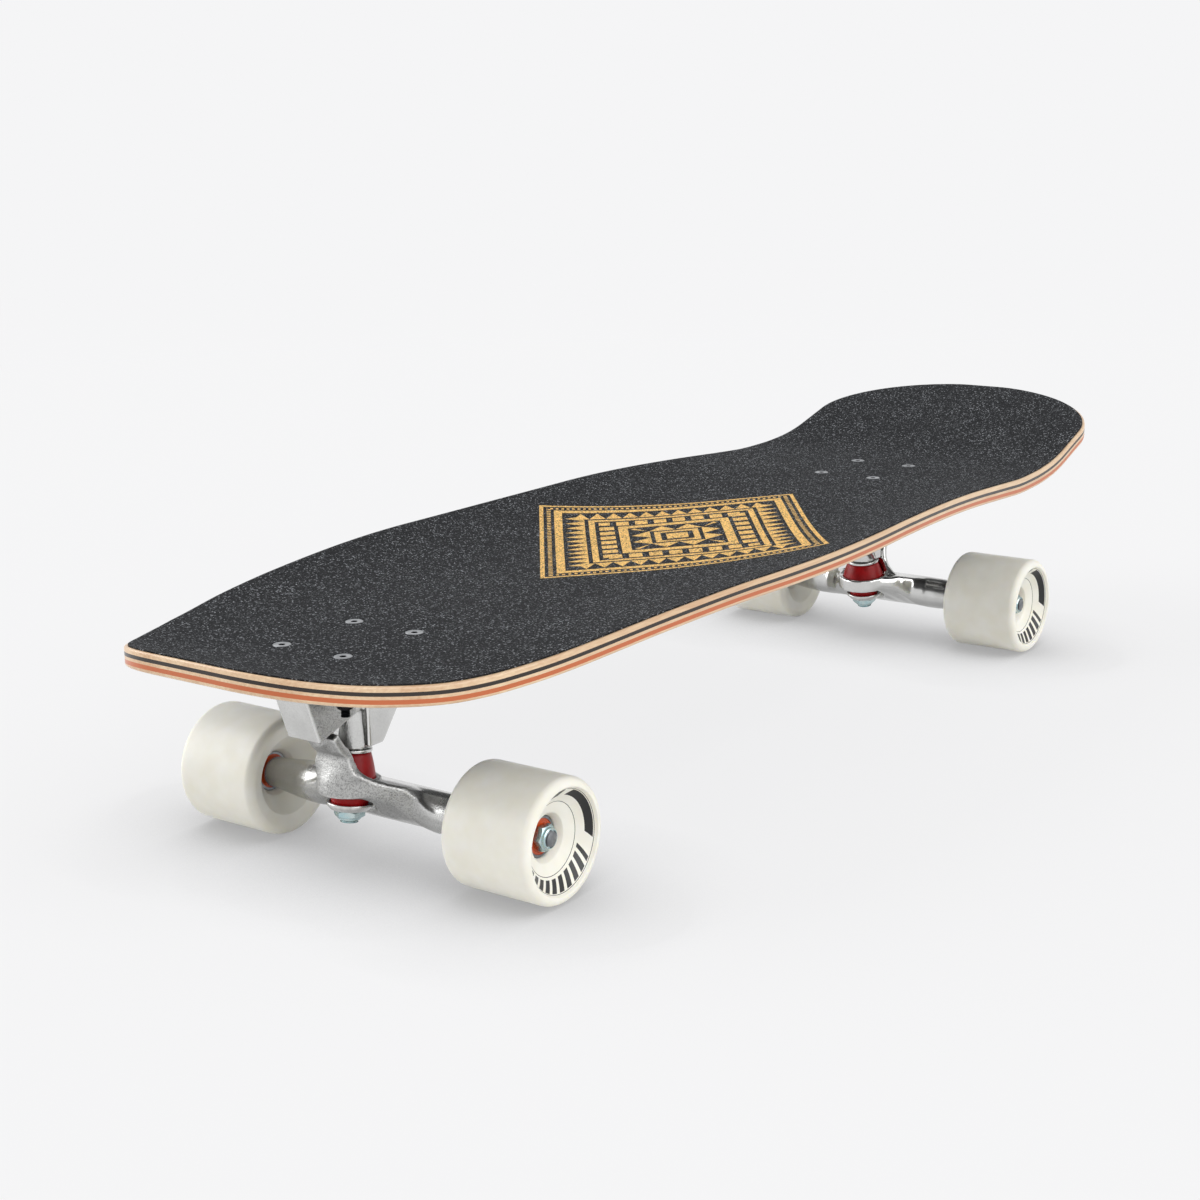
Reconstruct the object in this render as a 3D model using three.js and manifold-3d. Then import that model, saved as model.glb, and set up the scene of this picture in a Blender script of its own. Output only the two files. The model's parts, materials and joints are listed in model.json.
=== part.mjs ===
// A surf skateboard: a wide laminated maple deck with a kick tail, on two tall carving trucks.
// Millimetres, +X towards the nose, +Y the rider's left in a regular stance, +Z up, ground at zero.
import * as THREE from 'three';
import { mergeVertices } from 'three/addons/utils/BufferGeometryUtils.js';
import Module from 'manifold-3d';

const wasm = await Module();
wasm.setup();

// Deck plan
const noseLength = 110; // nose end to the middle of the front bolt pattern
const boltSpan = 549; // middle of one bolt pattern to the middle of the other
const tailLength = 196; // middle of the rear bolt pattern to the tail end
const deckWidth = 262;
const noseRoundLength = 105; // stretch over which the nose rounds in
const tailRoundLength = 66;
const noseRoundPower = 2.2;
const tailRoundPower = 1.83;
const noseTipFlat = 26; // half width of the straight edge at the nose
const tailTipFlat = 14; // and at the tail
// Half width along the deck: share of the half length, then share of the half width
const sideShares = [
  [-1, 0.819],
  [-0.82, 0.837],
  [-0.6, 0.87],
  [-0.48, 0.887],
  [-0.37, 0.909],
  [-0.13, 0.969],
  [0.1, 1],
  [0.34, 0.984],
  [0.49, 0.953],
  [0.69, 0.88],
  [0.8, 0.791],
  [1, 0.649],
];

// Deck section
const deckThickness = 10.5;
const edgeRound = 1.4; // rounding of the deck's top and bottom edges
const gripThickness = 0.85;
const gripGap = 0.05; // adhesive film under the grip tape
const truckFlatInner = 42; // flat ground under each truck, from its bolt pattern towards the middle
const noseFlatOuter = 31; // from the front bolt pattern to the start of the nose kick
const tailFlatOuter = 43;
const rockerDepth = 3.2; // how far the middle hangs below the truck flats
const flatShare = 0.25; // flat middle strip, as a share of the half width
const concaveDepth = 12.8; // how far the edges rise above the middle of the board
const concaveFull = 80; // the concave is full up to this distance from the middle of the bolt span
const concaveEndFront = 350; // and gone at this one, towards the nose
const concaveEndRear = 369; // and at this one towards the tail
const noseConcave = 2.2;
const tailConcave = 2.65;
const endConcaveStart = 6; // from a bolt pattern outwards to where the end's concave starts
const endConcaveRun = 62;
const noseKickRadius = 224;
const noseKickSlope = 0.36;
const tailKickRadius = 200;
const tailKickSlope = 0.273;

// Wheels, bearings and axles
const wheelDiameter = 66;
const wheelWidth = 54.8;
const wheelLip = 4.6; // rounding of the wheel's edges
const trackWidth = 239.4; // over the outer faces of a pair of wheels
const wheelDishStart = 27.2; // radius where the outer face's dish starts, behind the lip
const wheelDishStartDepth = 1.6;
const wheelDishMid = 19.6;
const wheelDishMidDepth = 8.2;
const wheelBackStart = 22; // radius where the dish on the truck's side starts
const wheelBackStartDepth = 2;
const wheelDishFoot = 13; // both dishes end here, beside the bearings
const wheelDishFootDepth = 11.2;
const bearingOuter = 22;
const bearingBore = 8;
const bearingWidth = 7;
const bearingChamfer = 0.5;
const bearingSpacing = 10.2; // between the two bearings of one wheel
const bearingShoulder = 2; // step that the bearings sit against in the wheel
const spacerDiameter = 11;
const axleDiameter = 8;
const axleNutHeight = 6;
const axleNutAcross = 12.7;
const axleTip = 0.9; // thread that stands out of the axle nut

// Mounting hardware
const boltSpacingLength = 54;
const boltSpacingWidth = 41.3;
const screwDiameter = 4.8;
const screwHeadDiameter = 9.6;
const screwHeadHeight = 2.6;
const screwLength = 31;
const lockNutAcross = 9.5;
const lockNutHeight = 7;

// Baseplates
const truckHeight = 80.2; // axle centre to the top of the baseplate
const flangeThickness = 8;
const flangeHalfWidth = 28;
const flangeFront = 45; // from the bolt pattern's middle, on the pivot side
const flangeRear = 41;
const flangeCorner = 8;
const ribHalfWidth = 11; // the narrow part that holds the pivot
const ribFootRun = 9; // how far the rib's end face leans in going down
const pivotFaceSlope = 0.318;
const pivotFaceDrop = 2.2; // the sloped face passes this far under the pivot's centre
const blockHalfWidth = 14;
const blockFootRear = 7.8; // from the bolt pattern's middle
const blockFootLift = 2; // the block's foot lies this far above the kingpin boss's
const blockHeelRun = 12;
const blockHeelRise = 15.7;
const bossRadius = 10.5;
const pivotCupRadius = 8;
const pivotCupDepth = 7; // beyond the pivot's centre
const pivotCupMouth = 1;
const pivotBoreMouth = 14;

// Kingpin stacks, measured along the kingpin from the middle of the hanger's ring
const kingpinDiameter = 9.5;
const kingpinLeanDegrees = 7;
const kingpinHeadAcross = 15;
const kingpinHeadHeight = 5.5;
const kingpinTip = 1.6; // thread that stands out of the nut
const kingpinNutAcross = 14.3;
const kingpinNutHeight = 5;
const ringThickness = 9.5;
const ringHoleRadius = 7.5;
const upperSeatDepth = 1.5;
const lowerSeatDepth = 4;
const lowerBushingRadius = 10;
const lowerBushingHeight = 9.2;
const washerThickness = 2.8;
const cupRimHeight = 1.2;
const cupRimRadius = 12.3;
const upperWasherThickness = 1.8;
const upperWasherMargin = 0.5; // washer past the bushing's narrow end
const upperWasherRoom = 1.2; // from the washer's rim to the web, for the truck's tilt
const stackClearRadius = 14.5; // room in the hanger round the lower washer and nut

// Hanger castings
const barRadius = 11.2; // the bar round the axle, near the middle
const barEndRadius = 8.4; // where the bar meets the inner bearing
const barTaperRun = 34; // length over which each end of the bar tapers
const bodyRadius = 17.8; // the body's rounded edge, about the ring's middle
const bodyEdgeRadius = 4.8; // half thickness of that edge
const gussetDegrees = 54; // turn at which the rounded edge runs out straight towards the bar
const gussetHalfWidth = 18; // the edge keeps its height up to here on each side
const gussetRun = 17; // and sinks into the bar over this further stretch
const webThickness = 5;
const webTopHalfWidth = 10.5;
const webFlare = 17.5; // how far the web's foot spreads past its top on each side
const webFlareWaist = 7; // height of the flare's tightest bend
const webFlareWaistOut = 1; // and its distance out from the web's top
const webFlareRise = 22;
const webRunOut = 26; // past the flare, the stretch in which a foot on the bar sinks into it
const webRunOutWaist = 4.5; // height above the axle of the tightest bend there
const webRunOutWaistOut = 7; // and its distance out from the flare's foot
const webWrap = 12; // half width in which a web that has its bar in front follows the ring
const webFlatFrom = 4; // above the ring's middle the web starts to flatten out
const webFlatTo = 18;
const webStandOff = 3; // from the bushing's narrow end to the web
const webTopDrop = 5.6; // web's top to the pivot's centre, along the steering axis
const pivotPinRadius = 4.8;
const pivotRootRadius = 6.2;
const pivotRootRun = 5;

// Clearances and counts
const fit = 0.3;
const mergeWithin = 1e-4; // corners closer than this are one
const cutOverrun = 5;
const roundSides = 16;
const wheelSides = 24;
const smallSides = 8;
const lipSteps = 2;
const deckRows = 32;
const deckColumns = 8;
const barRings = 20;
const barSides = 16;
const webSteps = 10;
const webProfileSteps = 8;
const flareSteps = 6;
const cornerSteps = 3;
const frontShare = 0.01; // how far off the bar's middle a corner counts as its front

// What differs between the trucks. Offsets run from the bolt pattern's middle towards the pivot.
const frontTruck = {
  name: 'front',
  pivotTowardsNose: true,
  axleOffset: -20.6,
  ringOffset: 3.4,
  ringRise: 15.1,
  pivotRun: 23.6,
  pivotRise: 36.9,
  upperFootRadius: 13.2,
  upperTopRadius: 10,
  upperHeight: 13.8,
  ringRadius: 15.8,
};
const rearTruck = {
  name: 'rear',
  pivotTowardsNose: false,
  axleOffset: 28.3,
  ringOffset: 0.1,
  ringRise: 10.4,
  pivotRun: 23.6,
  pivotRise: 36.9,
  upperFootRadius: 14.6,
  upperTopRadius: 11,
  upperHeight: 10,
  ringRadius: 18,
};

// Values worked out from the ones above
const deckLength = noseLength + boltSpan + tailLength;
const halfLength = deckLength / 2;
const frontBoltsX = halfLength - noseLength;
const rearBoltsX = tailLength - halfLength;
const middleX = (frontBoltsX + rearBoltsX) / 2;
const axleZ = wheelDiameter / 2;
const baseTopZ = axleZ + truckHeight;
const deckBottomZ = baseTopZ + fit;
const deckTopZ = deckBottomZ + deckThickness;
const wheelMiddleY = (trackWidth - wheelWidth) / 2;
const innerBearingY = wheelMiddleY - bearingSpacing / 2 - bearingWidth;
const outerBearingY = wheelMiddleY + bearingSpacing / 2 + bearingWidth;
const armEndY = innerBearingY - fit;
const axleNutY = outerBearingY + fit;
const axleHalfLength = axleNutY + axleNutHeight + axleTip;

// Materials
function finish(color, roughness, metalness) {
  return new THREE.MeshStandardMaterial({ color, roughness, metalness });
}
const looks = {
  maple: () => finish(0xe1be9b, 0.5, 0),
  grip: () => finish(0x2c2d30, 0.95, 0),
  cast: () => finish(0xb9b9b6, 0.42, 1),
  zinc: () => finish(0xc3cdcb, 0.3, 1),
  steel: () => finish(0x8f9192, 0.35, 1),
  black: () => finish(0x16161a, 0.5, 0.6),
  urethane: () => finish(0xf1efe2, 0.4, 0),
  bushing: () => finish(0x9c1420, 0.45, 0),
  shield: () => finish(0xd8622a, 0.45, 0.1),
  silver: () => finish(0xc9c9cb, 0.3, 1),
  nylon: () => finish(0x1c1c1e, 0.7, 0),
};

// Solids from closed geometries, and back
function solid(geometry) {
  const bare = geometry.clone();
  for (const key of Object.keys(bare.attributes)) if (key !== 'position') bare.deleteAttribute(key);
  const merged = mergeVertices(bare, mergeWithin);
  const mesh = new wasm.Mesh({
    numProp: 3,
    vertProperties: new Float32Array(merged.attributes.position.array),
    triVerts: new Uint32Array(merged.index.array),
  });
  return new wasm.Manifold(mesh);
}

function geometryOf(manifold) {
  const mesh = manifold.getMesh();
  const geometry = new THREE.BufferGeometry();
  geometry.setAttribute('position', new THREE.BufferAttribute(new Float32Array(mesh.vertProperties), 3));
  geometry.setIndex(new THREE.BufferAttribute(new Uint32Array(mesh.triVerts), 1));
  geometry.computeVertexNormals();
  return geometry;
}

function named(name, geometry, material) {
  const mesh = new THREE.Mesh(geometry, material);
  mesh.name = name;
  return mesh;
}

// Basic shapes
function outerFor(radius, sides) {
  return radius / Math.cos(Math.PI / sides); // corner radius of a polygon that stays outside a circle
}

function turned(profile, sides) {
  // A profile of radius and height pairs, spun about Z
  const points = profile.map(([radius, height]) => new THREE.Vector2(radius, height));
  return new THREE.LatheGeometry(points, sides).rotateX(Math.PI / 2);
}

function rod(radius, low, high, sides) {
  return new THREE.CylinderGeometry(radius, radius, high - low, sides)
    .rotateX(Math.PI / 2)
    .translate(0, 0, (low + high) / 2);
}

function tube(innerRadius, outerRadius, low, high, sides) {
  const profile = [
    [innerRadius, low], [outerRadius, low], [outerRadius, high], [innerRadius, high], [innerRadius, low],
  ];
  return turned(profile, sides);
}

function hexNut(across, height, boreRadius, low) {
  const outline = new THREE.Shape();
  const corner = across / Math.sqrt(3);
  for (let i = 0; i < 6; i += 1) {
    const angle = (i * Math.PI) / 3;
    if (i === 0) outline.moveTo(corner, 0);
    else outline.lineTo(corner * Math.cos(angle), corner * Math.sin(angle));
  }
  outline.closePath();
  const bore = new THREE.Path();
  bore.absarc(0, 0, outerFor(boreRadius, smallSides), 0, Math.PI * 2, true);
  outline.holes.push(bore);
  const curveSegments = smallSides;
  return new THREE.ExtrudeGeometry(outline, { depth: height, bevelEnabled: false, curveSegments })
    .translate(0, 0, low);
}

function extrudedAcross(shape, halfWidth, curveSegments) {
  // A side view outline (along, up) made as wide as two half widths
  return new THREE.ExtrudeGeometry(shape, { depth: 2 * halfWidth, bevelEnabled: false, curveSegments })
    .rotateX(Math.PI / 2)
    .translate(0, halfWidth, 0);
}

// Deck surfaces
const widthCurve = new THREE.CubicInterpolant(
  Float32Array.from(sideShares, (pair) => pair[0]),
  Float32Array.from(sideShares, (pair) => pair[1]),
  1,
);

function roundedIn(distance, run, power) {
  // One along the side, falling to nothing at the very end
  const reach = Math.min(Math.max(1 - distance / run, 0), 1);
  return Math.pow(1 - Math.pow(reach, power), 1 / power);
}

function halfWidthAt(x) {
  const share = Math.min(Math.max(x / halfLength, -1), 1);
  const side = (widthCurve.evaluate(share)[0] * deckWidth) / 2;
  const nose = roundedIn(halfLength - x, noseRoundLength, noseRoundPower);
  const tail = roundedIn(halfLength + x, tailRoundLength, tailRoundPower);
  const tip = x > 0 ? noseTipFlat : tailTipFlat;
  return tip + (side - tip) * nose * tail;
}

function kick(distance, radius, slope) {
  // Height gained along an upward arc that runs out straight
  if (distance <= 0) return 0;
  const arc = radius * slope;
  if (distance < arc) return (distance * distance) / (2 * radius);
  return (arc * arc) / (2 * radius) + slope * (distance - arc);
}

function rise(x) {
  // Height of the deck's centre line above the truck flats
  const inner = boltSpan / 2 - truckFlatInner;
  const share = Math.min(Math.abs(x - middleX) / inner, 1);
  const rocker = -rockerDepth * Math.pow(1 - share * share, 2);
  const nose = kick(x - frontBoltsX - noseFlatOuter, noseKickRadius, noseKickSlope);
  const tail = kick(rearBoltsX - tailFlatOuter - x, tailKickRadius, tailKickSlope);
  return rocker + nose + tail;
}

function concave(x) {
  const end = x > middleX ? concaveEndFront : concaveEndRear;
  const middle = 1 - THREE.MathUtils.smoothstep(Math.abs(x - middleX), concaveFull, end);
  const noseStart = frontBoltsX + endConcaveStart;
  const tailStart = endConcaveStart - rearBoltsX;
  const nose = THREE.MathUtils.smoothstep(x, noseStart, noseStart + endConcaveRun);
  const tail = THREE.MathUtils.smoothstep(-x, tailStart, tailStart + endConcaveRun);
  return concaveDepth * middle + noseConcave * nose + tailConcave * tail;
}

function deckHeight(x, y) {
  // Flat across the middle, where the trucks sit, and dished up towards the edges
  const across = Math.max(Math.abs(y) / halfWidthAt(x) - flatShare, 0) / (1 - flatShare);
  return rise(x) + concave(x) * across * across;
}

function deckGrid(layers, levelOf, insetOf) {
  // A block of unit cells bent to the deck's plan and camber. Rows crowd towards both ends.
  const geometry = new THREE.BoxGeometry(2, 2, 2, deckRows, deckColumns, layers);
  const position = geometry.attributes.position;
  for (let i = 0; i < position.count; i += 1) {
    const layer = Math.round(((position.getZ(i) + 1) / 2) * layers);
    const inset = insetOf(layer);
    const rowX = halfLength * Math.sin((position.getX(i) * Math.PI) / 2);
    const x = rowX * (1 - inset / halfLength);
    const y = position.getY(i) * (halfWidthAt(rowX) - inset);
    position.setXYZ(i, x, y, deckHeight(x, y) + levelOf(layer));
  }
  return geometry;
}

function mirroredFaces(geometry) {
  // Left and right swapped, with the faces turned back out, so that its underside matches a deck's top
  geometry.scale(1, -1, 1);
  const index = geometry.index.array;
  for (let i = 0; i < index.length; i += 3) [index[i], index[i + 1]] = [index[i + 1], index[i]];
  return geometry;
}

function boltPlaces() {
  const places = [];
  for (const [truck, x] of [['front', frontBoltsX], ['rear', rearBoltsX]]) {
    let number = 1;
    for (const along of [1, -1]) {
      for (const side of [1, -1]) {
        const at = [x + (along * boltSpacingLength) / 2, (side * boltSpacingWidth) / 2];
        places.push({ truck, number, x: at[0], y: at[1] });
        number += 1;
      }
    }
  }
  return places;
}

function screwHoles(body) {
  // A clear hole and a countersink for each mounting screw
  const holeRadius = outerFor(screwDiameter / 2 + fit, smallSides);
  const headRadius = outerFor(screwHeadDiameter / 2 + fit, smallSides);
  const top = gripGap + gripThickness;
  let drilled = body;
  for (const { x, y } of boltPlaces()) {
    const topZ = deckTopZ + top;
    const profile = [
      [0, deckBottomZ - cutOverrun], [holeRadius, deckBottomZ - cutOverrun],
      [holeRadius, topZ - screwHeadHeight - fit], [headRadius, topZ - fit],
      [headRadius, topZ + cutOverrun], [0, topZ + cutOverrun],
    ];
    drilled = drilled.subtract(solid(turned(profile, smallSides).translate(x, y, 0)));
  }
  return drilled;
}

function deck() {
  const levels = [0, edgeRound, deckThickness - edgeRound, deckThickness];
  const insets = [edgeRound, 0, 0, edgeRound];
  const block = deckGrid(3, (layer) => deckBottomZ + levels[layer], (layer) => insets[layer]);
  return named('deck', geometryOf(screwHoles(solid(block))), looks.maple());
}

function gripTape() {
  const low = deckTopZ + gripGap;
  const sheet = deckGrid(1, (layer) => low + layer * gripThickness, () => edgeRound);
  return named('grip_tape', geometryOf(screwHoles(solid(mirroredFaces(sheet)))), looks.grip());
}

// Mounting hardware
function mountingScrew(place) {
  const topZ = deckTopZ + gripGap + gripThickness;
  const headRadius = screwHeadDiameter / 2;
  const shankRadius = screwDiameter / 2;
  const profile = [
    [0, topZ - screwLength], [shankRadius, topZ - screwLength],
    [shankRadius, topZ - screwHeadHeight], [headRadius, topZ - fit], [headRadius, topZ], [0, topZ],
  ];
  const mesh = named(`${place.truck}_screw_${place.number}`, turned(profile, smallSides), looks.black());
  mesh.position.set(place.x, place.y, 0);
  return mesh;
}

function lockNut(place) {
  const low = baseTopZ - flangeThickness - fit - lockNutHeight;
  const nut = hexNut(lockNutAcross, lockNutHeight, screwDiameter / 2 + fit, low);
  const mesh = named(`${place.truck}_lock_nut_${place.number}`, nut, looks.black());
  mesh.position.set(place.x, place.y, 0);
  return mesh;
}

// One truck's frames: its kingpin line and its steering line, both in the truck's own group
function kingpinMatrix(truck) {
  const lean = THREE.MathUtils.degToRad(kingpinLeanDegrees);
  return new THREE.Matrix4()
    .makeTranslation(truck.ringOffset, 0, axleZ + truck.ringRise)
    .multiply(new THREE.Matrix4().makeRotationY(-lean));
}

function steeringMatrix(truck) {
  // Origin at the pivot's centre, Z along the steering axis away from the ring
  const lean = Math.atan2(truck.pivotRun, truck.pivotRise);
  const x = truck.ringOffset + truck.pivotRun;
  return new THREE.Matrix4()
    .makeTranslation(x, 0, axleZ + truck.ringRise + truck.pivotRise)
    .multiply(new THREE.Matrix4().makeRotationY(lean));
}

function stack(truck) {
  // Heights along the kingpin, from the middle of the ring
  const upperSeat = ringThickness / 2 - upperSeatDepth;
  const lowerSeat = lowerSeatDepth - ringThickness / 2;
  const upperFoot = upperSeat + fit;
  const upperTop = upperFoot + truck.upperHeight;
  const upperWasherTop = upperTop + fit + upperWasherThickness;
  const lowerTop = lowerSeat - fit;
  const lowerFoot = lowerTop - lowerBushingHeight;
  const cupTop = lowerFoot - fit;
  const cupFoot = cupTop - washerThickness;
  const nutTop = cupFoot - fit;
  const nutFoot = nutTop - kingpinNutHeight;
  const lean = THREE.MathUtils.degToRad(kingpinLeanDegrees);
  const headSink = kingpinHeadAcross * Math.sin(lean);
  return {
    upperSeat, lowerSeat, upperFoot, upperTop, upperWasherTop, lowerTop, lowerFoot,
    cupTop, cupFoot, nutTop, nutFoot,
    bossFoot: upperWasherTop + fit,
    pinTip: nutFoot - kingpinTip,
    headTop: (baseTopZ - axleZ - truck.ringRise) / Math.cos(lean) - headSink,
  };
}

// Baseplate
function flange() {
  const shape = new THREE.Shape();
  const [low, high, side, corner] = [-flangeRear, flangeFront, flangeHalfWidth, flangeCorner];
  shape.moveTo(low + corner, -side);
  shape.lineTo(high - corner, -side);
  shape.absarc(high - corner, corner - side, corner, -Math.PI / 2, 0);
  shape.lineTo(high, side - corner);
  shape.absarc(high - corner, side - corner, corner, 0, Math.PI / 2);
  shape.lineTo(low + corner, side);
  shape.absarc(low + corner, side - corner, corner, Math.PI / 2, Math.PI);
  shape.lineTo(low, corner - side);
  shape.absarc(low + corner, corner - side, corner, Math.PI, Math.PI * 1.5);
  const settings = { depth: flangeThickness, bevelEnabled: false, curveSegments: cornerSteps };
  return new THREE.ExtrudeGeometry(shape, settings).translate(0, 0, baseTopZ - flangeThickness);
}

function pivotRib(truck) {
  // The narrow part whose sloped underside holds the pivot cup
  const pivotX = truck.ringOffset + truck.pivotRun;
  const faceZ = axleZ + truck.ringRise + truck.pivotRise - pivotFaceDrop;
  const footX = flangeFront - ribFootRun;
  const innerX = truck.ringOffset;
  const flangeZ = baseTopZ - flangeThickness / 2;
  const shape = new THREE.Shape();
  shape.moveTo(innerX, flangeZ);
  shape.lineTo(innerX, faceZ + (pivotX - innerX) * pivotFaceSlope);
  shape.lineTo(footX, faceZ + (pivotX - footX) * pivotFaceSlope);
  shape.lineTo(flangeFront, baseTopZ - flangeThickness);
  shape.lineTo(flangeFront, flangeZ);
  return extrudedAcross(shape, ribHalfWidth, 1);
}

function tailBlock(truck, footZ) {
  // The wider part behind the kingpin boss
  const flangeZ = baseTopZ - flangeThickness / 2;
  const shape = new THREE.Shape();
  shape.moveTo(truck.ringOffset, flangeZ);
  shape.lineTo(-flangeRear, flangeZ);
  shape.lineTo(-flangeRear, baseTopZ - flangeThickness);
  shape.lineTo(-blockFootRear - blockHeelRun, footZ + blockHeelRise);
  shape.lineTo(-blockFootRear, footZ);
  shape.lineTo(truck.ringOffset, footZ);
  return extrudedAcross(shape, blockHalfWidth, 1);
}

function baseplate(truck) {
  const pin = kingpinMatrix(truck);
  const steer = steeringMatrix(truck);
  const at = stack(truck);
  const ringZ = axleZ + truck.ringRise;
  const pinRadius = outerFor(kingpinDiameter / 2 + fit, roundSides);
  const headRadius = kingpinHeadAcross / Math.sqrt(3) + fit;
  const cupRadius = outerFor(pivotCupRadius + fit, roundSides);
  const top = new THREE.BoxGeometry(4 * flangeFront, 4 * flangeFront, flangeThickness)
    .translate(0, 0, baseTopZ + flangeThickness / 2);
  const boss = rod(bossRadius, at.bossFoot, at.headTop, roundSides).applyMatrix4(pin);
  const pinHole = rod(pinRadius, at.bossFoot - cutOverrun, at.headTop, roundSides).applyMatrix4(pin);
  const headFoot = at.headTop - kingpinHeadHeight - fit;
  const headHole = rod(headRadius, headFoot, at.headTop + 2 * cutOverrun, roundSides).applyMatrix4(pin);
  const cupHole = rod(cupRadius, -pivotBoreMouth, pivotCupDepth + fit, roundSides).applyMatrix4(steer);
  let body = solid(flange());
  body = body.add(solid(pivotRib(truck)));
  body = body.add(solid(tailBlock(truck, ringZ + at.bossFoot + blockFootLift)));
  body = body.add(solid(boss)).subtract(solid(top));
  body = body.subtract(solid(pinHole)).subtract(solid(headHole)).subtract(solid(cupHole));
  const holeRadius = outerFor(screwDiameter / 2 + fit, smallSides);
  const holeFoot = baseTopZ - flangeThickness - cutOverrun;
  for (const along of [1, -1]) {
    for (const side of [1, -1]) {
      const hole = rod(holeRadius, holeFoot, baseTopZ + cutOverrun, smallSides);
      hole.translate((along * boltSpacingLength) / 2, (side * boltSpacingWidth) / 2, 0);
      body = body.subtract(solid(hole));
    }
  }
  return named(`${truck.name}_baseplate`, geometryOf(body), looks.cast());
}

function pivotCup(truck) {
  const socket = pivotPinRadius + fit;
  const wall = pivotCupRadius - socket;
  const ball = socket * Math.SQRT1_2;
  const profile = [
    [pivotCupRadius, -pivotCupMouth], [pivotCupRadius, pivotCupDepth], [0, pivotCupDepth],
    [0, socket + fit], [ball, ball + fit], [socket + fit, 0], [socket + wall / 3, -pivotCupMouth],
    [pivotCupRadius, -pivotCupMouth],
  ];
  const cup = turned(profile, roundSides).applyMatrix4(steeringMatrix(truck));
  return named(`${truck.name}_pivot_cup`, cup, looks.nylon());
}

// Kingpin stack
function kingpin(truck) {
  const at = stack(truck);
  const shank = rod(kingpinDiameter / 2, at.pinTip, at.headTop - fit, roundSides);
  const head = rod(kingpinHeadAcross / Math.sqrt(3), at.headTop - kingpinHeadHeight, at.headTop, 6);
  return named(`${truck.name}_kingpin`, geometryOf(solid(shank).add(solid(head))), looks.zinc());
}

function kingpinNut(truck) {
  const at = stack(truck);
  const nut = hexNut(kingpinNutAcross, kingpinNutHeight, kingpinDiameter / 2 + fit, at.nutFoot);
  return named(`${truck.name}_kingpin_nut`, nut, looks.zinc());
}

function upperBushing(truck) {
  const at = stack(truck);
  const bore = outerFor(kingpinDiameter / 2 + fit, roundSides);
  const profile = [
    [bore, at.upperFoot], [truck.upperFootRadius, at.upperFoot],
    [truck.upperTopRadius, at.upperTop], [bore, at.upperTop], [bore, at.upperFoot],
  ];
  return named(`${truck.name}_upper_bushing`, turned(profile, roundSides), looks.bushing());
}

function lowerBushing(truck) {
  const at = stack(truck);
  const bore = outerFor(kingpinDiameter / 2 + fit, roundSides);
  const shape = tube(bore, lowerBushingRadius, at.lowerFoot, at.lowerTop, roundSides);
  return named(`${truck.name}_lower_bushing`, shape, looks.bushing());
}

function upperWasher(truck) {
  const at = stack(truck);
  const bore = outerFor(kingpinDiameter / 2 + fit, roundSides);
  const rim = truck.upperTopRadius + upperWasherMargin;
  const shape = tube(bore, rim, at.upperTop + fit, at.upperWasherTop, roundSides);
  return named(`${truck.name}_upper_washer`, shape, looks.silver());
}

function lowerWasher(truck) {
  // A cup that holds the foot of the lower bushing
  const at = stack(truck);
  const bore = outerFor(kingpinDiameter / 2 + fit, roundSides);
  const inner = outerFor(lowerBushingRadius + fit, roundSides);
  const profile = [
    [bore, at.cupFoot], [inner, at.cupFoot], [cupRimRadius, at.cupTop],
    [cupRimRadius, at.cupTop + cupRimHeight], [inner, at.cupTop + cupRimHeight],
    [inner, at.cupTop], [bore, at.cupTop], [bore, at.cupFoot],
  ];
  return named(`${truck.name}_lower_washer`, turned(profile, roundSides), looks.silver());
}

// Hanger
function gussetShare(y) {
  // One in the middle of the hanger, none out along the bar
  return 1 - THREE.MathUtils.smoothstep(Math.abs(y), gussetHalfWidth, gussetHalfWidth + gussetRun);
}

function edgeReach(truck, y) {
  // From the ring's middle to the body's edge, which is round at first and then runs straight to the bar
  const turn = THREE.MathUtils.degToRad(gussetDegrees);
  const across = Math.abs(y);
  if (across < bodyRadius * Math.sin(turn)) return Math.sqrt(bodyRadius * bodyRadius - across * across);
  const barFace = barRadius - Math.abs(truck.ringOffset - truck.axleOffset);
  return Math.max((bodyRadius - across * Math.sin(turn)) / Math.cos(turn), barFace);
}

function barAndBody(truck) {
  // Sections along the axle: a round bar behind, and an edge that reaches out round the ring
  const geometry = new THREE.CylinderGeometry(1, 1, 2, barSides, barRings);
  const position = geometry.attributes.position;
  const reach = Math.sign(truck.ringOffset - truck.axleOffset);
  const lean = THREE.MathUtils.degToRad(kingpinLeanDegrees);
  for (let i = 0; i < position.count; i += 1) {
    const y = position.getY(i) * armEndY;
    const [cx, cz] = [position.getX(i), position.getZ(i)];
    const taper = THREE.MathUtils.smoothstep(Math.abs(y), armEndY - barTaperRun, armEndY);
    const round = THREE.MathUtils.lerp(barRadius, barEndRadius, taper);
    const isFront = cx * reach > frontShare;
    const share = isFront ? gussetShare(y) : 0;
    const radius = THREE.MathUtils.lerp(round, bodyEdgeRadius, share);
    const edge = reach * (edgeReach(truck, y) - radius);
    const middle = share > 0 ? truck.ringOffset + edge : truck.axleOffset;
    const z = axleZ + (truck.ringRise + edge * Math.sin(lean)) * share;
    position.setXYZ(i, middle + cx * radius, y, z + cz * radius);
  }
  return geometry;
}

function standsOnBar(truck) {
  // Only a web in front of its bar reaches down to the bar and runs out along it
  return truck.axleOffset < truck.ringOffset;
}

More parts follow.
